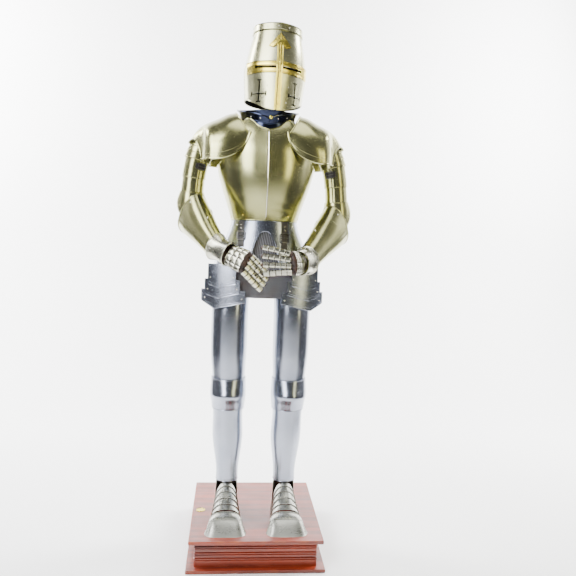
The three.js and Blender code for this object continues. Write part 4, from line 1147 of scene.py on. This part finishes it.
rows = np.concatenate([np.linspace(0, 0.5, 8), np.linspace(0.5, 1, 24)[1:]])
crown.plate(crown_at, 0, 144, 2, closed=True, rows=rows, inside=2)
ring = np.arange(144) / 144
crown.bead(crown_at(np.full(144, 0.02), ring), 1.1, True)
crown.bead(crown_at(np.full(144, 0.5), ring) - [0, 0, 1.2], 1.6, True)
crown.studs(*touch(crown_at, np.full(14, 0.22), np.arange(14) / 14 + 0.02), 2.4, 1.7, look=1)
crown.make(["helm_crown"], [STEEL_HELM, RIVET, STEEL_INSIDE_PAINTED_SHADE], "helm", helm_pose)
print("helm shells:", Piece.made, "pieces so far")

# %% [markdown]
# ## Brass on the helm
#
# A strip down the ridge, a band across the eyes with raised borders, and a flower-like tip above.

# %% Brass on the helm
LIFT = 2.25  # outer face of the brass in front of the steel
brass = Piece("helm_brass_visual")


def brass_patch(x, z, keep=None):
    outer, normal = on_front(x, z, LIFT)
    brass.shell(outer, normal, 1.5, keep=keep)


strip_x = np.array([-10, -8.6, -7.4, -5, -2.5, 0, 2.5, 5, 7.4, 8.6, 10.0])
strip_z = np.linspace(HELM_BASE + 1.5, 1836, 110)
x, z = np.broadcast_arrays(strip_x[None, :], strip_z[:, None])
brass_patch(x, z)
for x_line, radius in ((-9, 1.3), (9, 1.3), (-5.8, 0.7), (5.8, 0.7), (0, 0.9)):
    place, normal = on_front(np.full(110, float(x_line)), strip_z, LIFT)
    brass.bead(place, radius)
band_x = np.array([8, 10, 20, 32, 44, 56, 68, SLIT_FAR, 84, 90, 96, 103.0])
band_z = np.array([1706, 1710, 1714, 1718, EYE - SLIT_HALF, EYE + SLIT_HALF, 1734, 1738, 1742, 1746.0])
for sign in (1, -1):
    band = np.sort(sign * band_x)
    x, z = np.broadcast_arrays(band[None, :], band_z[:, None])
    mid = np.abs(x[:-1, :-1] + x[1:, 1:]) / 2
    brass_patch(x, z, ~((np.abs(z[:-1, :-1] - EYE + SLIT_HALF) < 1) & (mid < SLIT_FAR)))
    run = np.linspace(8, 103, 50) * sign
    for z_line, radius in ((1707.4, 1.5), (1711.4, 0.8), (1740.6, 0.8), (1744.6, 1.5)):
        brass.bead(on_front(run, np.full(50, z_line), LIFT)[0], radius)
    run = np.linspace(9, SLIT_FAR, 40) * sign
    for z_line in (EYE - SLIT_HALF - 1.2, EYE + SLIT_HALF + 1.2):
        brass.bead(on_front(run, np.full(40, z_line), LIFT)[0], 0.9)
TIP = [(-37, 1800), (-24, 1796), (0, 1808), (24, 1796), (37, 1800), (20, 1822), (0, 1844), (-20, 1822)]
tip = np.array(TIP + TIP[:1], float)
length = np.concatenate([[0], np.linalg.norm(np.diff(tip, axis=0), axis=1).cumsum()])
fine = np.unique(np.concatenate([np.linspace(0, length[-1], 97), length]))
outline = np.stack([np.interp(fine, length, tip[:, 0]), np.interp(fine, length, tip[:, 1])], axis=-1)[:-1]
centre = np.array([0.0, 1818.0])
share = np.linspace(1, 0.01, 12)[:, None, None]
spread = centre + (outline - centre)[None] * share
outer, normal = on_front(spread[..., 0], spread[..., 1], 2.45)
dome = (1 - share[..., 0]) * 2.2
brass.shell(outer + normal * dome[..., None], normal, 1.5, closed=True)
brass.bead(outer[0], 1.2, True)
brass.studs(*on_front(np.array([0.0, 0.0]), np.array([1740.0, 1712.0]), 2.5), 4.8, 3.8, sides=20)
ends = np.array([[94, 1736], [94, 1716], [-94, 1736], [-94, 1716]])
brass.studs(*on_front(ends[:, 0], ends[:, 1], LIFT), 2.4, 1.8)
strip_studs = np.array([1600, 1645, 1668, 1768, 1786])
brass.studs(*on_front(0.0 * strip_studs, strip_studs, 2.5), 2.2, 1.6)
brass.make(["helm_brass_cross"], [BRASS], "helm", helm_pose)
print("brass: done")

# %% [markdown]
# ## Pauldrons
#
# Arches from front to back over the shoulder. The lower front edge follows a quarter of an
# ellipse, the outer edge swells into a cap over the arm, and the whole edge is rolled.

# %% Pauldrons
PAULDRON = [(66, 1576, 127.7, 128), (100, 1586, 139.7, 137), (140, 1580, 146.7, 140), (180, 1560, 142, 130),
            (212, 1546, 126, 110), (232, 1536, 86, 78), (256, 1514, 68, 62), (281, 1474, 50, 46)]


def pauldron_at(s, t):
    angle = np.pi * (1 - t)
    sine = np.maximum(np.sin(angle), 0)
    spread = np.where(s < 0.5, 2 * s * s, s)
    x = mix(66 + 52 * sine**1.5, 232 + 49 * sine**1.5, spread)
    top_z, front_depth, back_depth = np.moveaxis(follow(PAULDRON, x), -1, 0)
    share = np.clip((188 - x) / 122, 0, 1)
    low = 1511 - 104 * np.sqrt(np.maximum(1 - share**2, 0))
    depth = np.where(np.cos(angle) > 0, front_depth, back_depth)
    return vec(x, -depth * np.cos(angle), low + (top_z - low) * sine**0.9)


def pauldron(side, turned):
    piece = Piece("pauldron_visual_" + side)
    at = flip(pauldron_at) if turned else pauldron_at
    piece.plate(at, 60, 96, 2)
    edges(piece, at, 3.0, "bdlr", 91)
    span = np.linspace(0.06, 0.94, 60)
    for t in (0.03, 0.97):
        piece.bead(at(span, np.full(60, t)), 0.9)
    piece.studs(*touch(at, np.array([0.5, 0.62, 0.74]), np.full(3, 0.5)), 3.0, 2.0, look=1)
    piece.make(["pauldron_" + side], [STEEL_OLIVE, RIVET])


pauldron("left", False)
pauldron("right", True)
print("pauldrons:", Piece.made, "pieces so far")

# %% [markdown]
# ## Arms
#
# The upper arm's plates are stretches of one sleeve along a smooth curve through four places. The
# forearm and the cuff are tubes between two places.

# %% Arms
ARMS = {
    "right": dict(
        sign=-1, shoulder=(-228, 2, 1473.7), bicep=(-254, 2, 1394), elbow=(-266, 4, 1262),
        forearm=(-262, -4, 1222), wrist=(-163, -160, 1098), knuckle=(-70, -236, 1062),
        row=(-0.66, 0.02, -0.75), finger=(0.7, -0.02, -0.71), spread=(0, 0, 0), fit=-0.8,
    ),
    "left": dict(
        sign=1, shoulder=(228, 2, 1474), bicep=(254, 2, 1386), elbow=(268, 4, 1240),
        forearm=(264, -4, 1200), wrist=(134, -178, 1060), knuckle=(90, -260, 1064),
        row=(0.24, 0.05, -0.97), finger=(-0.97, -0.06, 0.12), spread=(0, 0, 0.12), fit=0.45,
    ),
}
SLEEVE = [(0, 41, 43), (0.25, 39, 41.5), (0.6, 37, 39.5), (0.82, 38, 41), (1, 36, 39)]
VAMBRACE = [(0, 84, 49.9), (0.25, 70, 51), (0.6, 51, 44), (1, 38, 35)]
CUFF = [(0, 49, 45), (0.45, 40.6, 37.3), (1, 42.7, 33.2)]
DASHES = 20  # short raised lines round the end of a cuff


def arm_curve(arm):
    """A smooth curve through the arm's places: on each stretch a cubic whose end slopes weigh the
    neighbouring stretches by the square root of their lengths, then measured out by length."""
    marks = np.array([arm[k] for k in ("forearm", "elbow", "bicep", "shoulder")], float)
    marks = np.concatenate([[2 * marks[0] - marks[1]], marks, [2 * marks[-1] - marks[-2]]])
    u = np.linspace(0, 1, 80)[:, None]
    pieces = []
    for k in range(1, 4):
        p0, p1, p2, p3 = marks[k - 1:k + 3]
        d0, d1, d2 = (np.sqrt(np.linalg.norm(b - a)) for a, b in ((p0, p1), (p1, p2), (p2, p3)))
        m1 = ((p1 - p0) / d0 - (p2 - p0) / (d0 + d1) + (p2 - p1) / d1) * d1
        m2 = ((p2 - p1) / d1 - (p3 - p1) / (d1 + d2) + (p3 - p2) / d2) * d1
        curve = (2 * u**3 - 3 * u**2 + 1) * p1 + (u**3 - 2 * u**2 + u) * m1
        pieces.append((curve + (3 * u**2 - 2 * u**3) * p2 + (u**3 - u**2) * m2)[(k > 1):])
    path = np.concatenate(pieces)
    run = np.concatenate([[0], np.linalg.norm(np.diff(path, axis=0), axis=1).cumsum()])
    return path, run / run[-1]


def sleeve_at(arm, start, end, out_of):
    path, run = arm_curve(arm)

    def spot(place):
        return vec(*(np.interp(place, run, path[:, k]) for k in range(3)))

    def at(s, t):
        place = mix(start, end, s)
        along = unit(spot(np.minimum(place + 0.01, 1)) - spot(np.maximum(place - 0.01, 0)))
        front_axis = unit(np.array([0, -1, 0]) + along * along[..., 1:2])
        beside = np.cross(along, front_axis)
        wide = follow(SLEEVE, place) + out_of(s, t)[..., None]
        angle = 2 * np.pi * t
        ring = front_axis * (wide[..., :1] * np.cos(angle)[..., None])
        return spot(place) + ring + beside * (wide[..., 1:] * np.sin(angle)[..., None])

    return at


def limb_at(start, end, table, grow=0.0, extra=None):
    start, end = np.array(start, float), np.array(end, float)
    along = unit(end - start)
    tall = unit(np.array([0, 0, 1]) - along * along[2])
    wide_axis = np.cross(along, tall)

    def at(s, t):
        size = follow(table, s) + grow
        if extra is not None:
            size = size + extra(s, t)[..., None]
        angle = 2 * np.pi * t
        middle = mix(start, end, np.asarray(s)[..., None])
        ring = tall * (size[..., :1] * np.cos(angle)[..., None])
        return middle + ring + wide_axis * (size[..., 1:] * np.sin(angle)[..., None])

    return at


def fold(t, at_t, width):
    """A narrow hump round one place of a closed ring."""
    off = (t - at_t + 0.5) % 1 - 0.5
    return np.exp(-((off / width) ** 2))


def upper_arm(side, arm):
    outward = 0.25 * arm["sign"] % 1
    face = (-0.09 * arm["sign"]) % 1
    second = face + 0.07 * arm["sign"]
    plates = (
        ("couter", 0, 0.3, 2.6, lambda s, t: np.sin(np.pi * s) * (5 + 4 * fold(t, outward, 0.09))),
        ("lower_cannon", 0.24, 0.56, 0, lambda s, t: -1.8 * fold(t, face, 0.02) + 0 * s),
        ("upper_cannon", 0.5, 0.8, 2.6,
         lambda s, t: -1.8 * fold(t, face, 0.02) - 1.4 * fold(t, second, 0.015)),
        ("shoulder_lames", 0.75, 1, 5.2, lambda s, t: 1.6 * (1 - (s * 3) % 1) * (s < 0.999)),
    )
    ring = np.arange(72) / 72
    for name, start, end, layer, relief in plates:
        piece = Piece(f"{name}_visual_{side}")
        at = sleeve_at(arm, start, end, lambda s, t, f=relief, base=layer: f(s, t) + base)
        rows = None
        if name == "shoulder_lames":
            rows = np.concatenate([np.linspace(k / 3, (k + 0.985) / 3, 7) for k in range(3)])
        piece.plate(at, 30, 72, 2, closed=True, rows=rows)
        for s in (0.008, 0.992):
            piece.bead(at(np.full(72, s), ring), 1.5, True)
        if name == "shoulder_lames":
            for s in (0.335, 0.668):
                piece.bead(at(np.full(72, s), ring), 1.0, True)
        if name == "upper_cannon":
            band = sleeve_at(arm, start, end, lambda s, t: 4.4 + 0 * s * t)

            def strap_part(s, t, band=band):
                return band(mix(0.44, 0.68, s), (face + 0.16 * (t - 0.5)) % 1)

            piece.plate(strap_part, 8, 16, 2.0, look=1)
            buckle(piece, band, 0.56, 0.15, face, 0.05, 2, 1.6)
        if name == "couter":
            piece.bead(at(np.full(72, 0.35), ring), 1.1, True)
            piece.studs(*touch(at, np.full(4, 0.2), np.array([0.1, 0.4, 0.6, 0.9])), 2.6, 1.8, look=2)
        fitting = RIVET if name == "couter" else BUCKLE
        piece.make([f"{name}_{side}"], [STEEL_OLIVE, STRAP, fitting])


def forearm(side, arm):
    lap = 0.30 if arm["sign"] < 0 else 0.20

    def relief(s, t):
        """The upper of the two plates stands 1.6 mm proud, and its lower edge runs along the arm."""
        off = (t - lap + 0.5) % 1 - 0.5
        other = (t - lap - 0.5 + 0.5) % 1 - 0.5
        return 1.6 / (1 + np.exp(-off / 0.004)) * (1 / (1 + np.exp(other / 0.004)))

    piece = Piece("vambrace_visual_" + side)
    at = limb_at(arm["forearm"], arm["wrist"], VAMBRACE, 0.0, relief)
    piece.plate(at, 48, 144, 2, closed=True)
    ring = np.arange(144) / 144
    piece.bead(at(np.full(144, 0.01), ring), 1.8, True)
    piece.bead(at(np.full(144, 0.97), ring), 1.4, True)
    run = np.linspace(0.03, 0.96, 60)
    piece.bead(at(run, np.full(60, lap)), 1.0)
    piece.bead(at(run, np.full(60, (lap + 0.5) % 1)), 1.0)
    spots_s, spots_t = np.array([0.08, 0.08, 0.08, 0.5, 0.9]), np.array([0.12, 0.88, 0.5, 0.02, 0.02])
    piece.studs(*touch(at, spots_s, spots_t), 3.0, 2.2, look=1)
    boss_t = 0.13 if arm["sign"] > 0 else 0.87
    boss, boss_normal = touch(at, np.array([0.26]), np.array([boss_t]))
    piece.studs(boss, boss_normal, 6.5, 3.2, look=1, sides=24, rings=6)
    turn_by = np.linspace(0, 2 * np.pi, 32, endpoint=False)
    first = unit(np.cross(boss_normal, [0, 0, 1]))
    second = np.cross(boss_normal, first)
    halo = np.cos(turn_by)[:, None] * first + np.sin(turn_by)[:, None] * second
    halo = boss + 8.6 * halo + boss_normal * 0.6
    piece.bead(halo, 1.1, True, 1)
    piece.make(["vambrace_" + side], [STEEL_OLIVE, RIVET])

    cuff = Piece("gauntlet_cuff_visual_" + side)
    wrist, knuckle = np.array(arm["wrist"], float), np.array(arm["knuckle"], float)
    start = mix(wrist, np.array(arm["forearm"], float), 0.08)
    at = limb_at(start, mix(wrist, knuckle, 0.42), CUFF, arm["fit"])
    cuff.plate(at, 30, 96, 2, closed=True)
    ring = np.arange(96) / 96
    cuff.bead(at(np.full(96, 0.02), ring), 1.8, True)
    cuff.bead(at(np.full(96, 0.12), ring), 0.8, True)
    cuff.bead(at(np.full(96, 0.985), ring), 1.4, True)
    cuff.studs(*touch(at, np.full(16, 0.2), np.arange(16) / 16), 2.3, 1.7, look=1)
    for offset in np.arange(DASHES) / DASHES:
        cuff.bead(at(np.linspace(0.84, 0.92, 4), np.full(4, offset)), 0.8, look=2)
    cuff.make(["gauntlet_cuff_" + side], [STEEL, RIVET, BUCKLE])


for side, arm in ARMS.items():
    upper_arm(side, arm)
    forearm(side, arm)
print("arms:", Piece.made, "pieces so far")

# %% [markdown]
# ## Hands
#
# A glove of a flattened palm and four round fingers that curl away from the back of the hand. On
# it lie rows of square plates, and overlapping scales down each finger.

# %% Hands
FINGER_LENGTH, FINGER_RADIUS, FINGER_GAP = 84, 7.3, 19.5
SCALES = 5  # on each finger


def hand_frame(arm):
    wrist, knuckle, row = (np.array(arm[k], float) for k in ("wrist", "knuckle", "row"))
    along = unit(knuckle - wrist)
    across = unit(row - along * (row @ along))
    back = unit(np.cross(across, along))
    return wrist, knuckle, along, across, (back if back[1] <= 0 else -back)


def finger_line(arm, number):
    wrist, knuckle, along, across, back = hand_frame(arm)
    offset = number - 1.5
    root = knuckle + across * offset * FINGER_GAP - back * 6
    heading = unit(np.array(arm["finger"], float) - np.array(arm["spread"], float) * offset)

    def line(s):
        s = np.asarray(s, float)[..., None]
        return root + heading * FINGER_LENGTH * s - back * FINGER_LENGTH * 0.25 * s * s

    return line


def finger_frame(line, s, back):
    direction = unit(line(s + 0.01) - line(s - 0.01))
    up = unit(back - direction * (direction @ back)[..., None])
    return line(s), up, np.cross(direction, up)


def hand(side, arm):
    wrist, knuckle, along, across, back = hand_frame(arm)
    start = mix(wrist, knuckle, 0.16)
    length = knuckle - start

    def palm_at(grow_half, grow_deep, s_of, angle_of):
        def at(s, t):
            place, angle = s_of(s), angle_of(t)
            half = mix(28, 40, np.minimum(place * 1.4, 1)) + grow_half
            deep = mix(20.5, 13, place) + grow_deep
            middle = start + length * place[..., None] - back * 4
            ring = across * (half * np.cos(angle))[..., None]
            return middle + ring + back * (deep * np.sin(angle))[..., None]

        return at

    turned = arm["sign"] < 0
    whole = (lambda t: -2 * np.pi * t) if turned else (lambda t: 2 * np.pi * t)
    glove = Piece("glove_visual_" + side)
    glove.plate(palm_at(0, 0, lambda s: mix(0, 0.97, s), whole), 24, 48, 2.5, closed=True)
    knuckle_cap = palm_at(0, 0, lambda s: mix(0.97, 1.05, s), whole)
    s = np.linspace(0, 1, 9)[:, None]
    t = (np.arange(48) / 48)[None, :]
    ring = knuckle_cap(s, t)
    middle = ring.mean(axis=1, keepdims=True)
    ring = middle + (ring - middle) * np.sqrt(np.clip(1 - s**2, 1e-4, 1))[..., None]
    glove.add(ring, [quads(9, 48, True).reshape(-1, 4)])
    tip_steps = 0.92 + 0.1 * np.sin(np.linspace(0.1, np.pi / 2, 7))
    profile = np.concatenate([np.linspace(-0.03, 0.92, 22), tip_steps])
    shrink = np.sqrt(np.clip(1 - np.clip((profile - 0.92) / 0.1, 0, 0.995) ** 2, 0, 1))
    folds = 1 + 0.05 * np.cos(profile * 2 * np.pi * 5)
    for number in range(4):
        line = finger_line(arm, number)
        middle, up, beside = finger_frame(line, profile, back)
        angle = np.linspace(0, 2 * np.pi, 20, endpoint=False)[None, :, None]
        radius = (FINGER_RADIUS * shrink * folds)[:, None, None]
        rings = middle[:, None] + radius * (np.cos(angle) * up[:, None] + np.sin(angle) * beside[:, None])
        glove.add(rings, [quads(len(profile), 20, True).reshape(-1, 4)])
    glove.make(["glove_" + side], [GLOVE])

    half_turn = (lambda t: np.radians(mix(172, 8, t))) if turned else (lambda t: np.radians(mix(8, 172, t)))
    plate = Piece("hand_plate_visual_" + side)
    base = palm_at(2.0, 2.0, lambda s: mix(0.34, 0.96, s), half_turn)
    plate.plate(base, 20, 40, 1.2, look=1)
    raised = palm_at(3.4, 3.4, lambda s: mix(0.34, 0.98, s), half_turn)
    for row in range(3):
        for column in range(4):
            s = mix(0.0, 1.0, (row + np.linspace(0.04, 0.94, 8)) / 3)[:, None]
            t = mix(0.08, 0.92, (column + np.linspace(0.05, 0.95, 8)) / 4)[None, :]
            outer, normal = touch(raised, s, t)
            u = np.linspace(-1, 1, 8)
            pillow = 1.6 * (1 - u[:, None] ** 4) * (1 - u[None, :] ** 4)
            plate.shell(outer + normal * pillow[..., None], normal, 1.4)
    plate.make(["hand_plate_" + side], [STEEL, GLOVE])

    for number in range(4):
        piece = Piece(f"finger_scales_visual_{side}_{number + 1}")
        line = finger_line(arm, number)

        def scale_at(s, t, line=line):
            middle, up, beside = finger_frame(line, mix(0.08, 0.99, s), back)
            step = 1 - (s * SCALES) % 1
            radius = FINGER_RADIUS + 1.9 + 1.4 * step
            angle = np.radians(mix(-80, 80, t))
            ridge = radius + 1.2 * np.exp(-((angle / 0.16) ** 2))
            ring = up * (ridge * np.cos(angle))[..., None] + beside * (radius * np.sin(angle))[..., None]
            return middle + ring

        for k in range(SCALES):
            rows = np.linspace((k + 0.01) / SCALES, (k + 0.84) / SCALES, 5)
            piece.plate(scale_at, 0, 24, 1.2, rows=rows)
            piece.bead(scale_at(np.full(25, (k + 0.02) / SCALES), np.linspace(0, 1, 25)), 0.6)
        piece.make([f"finger_scales_{side}_{number + 1}"], [STEEL])


for side, arm in ARMS.items():
    hand(side, arm)
print("hands:", Piece.made, "pieces,", Piece.faces_made, "triangles in all")
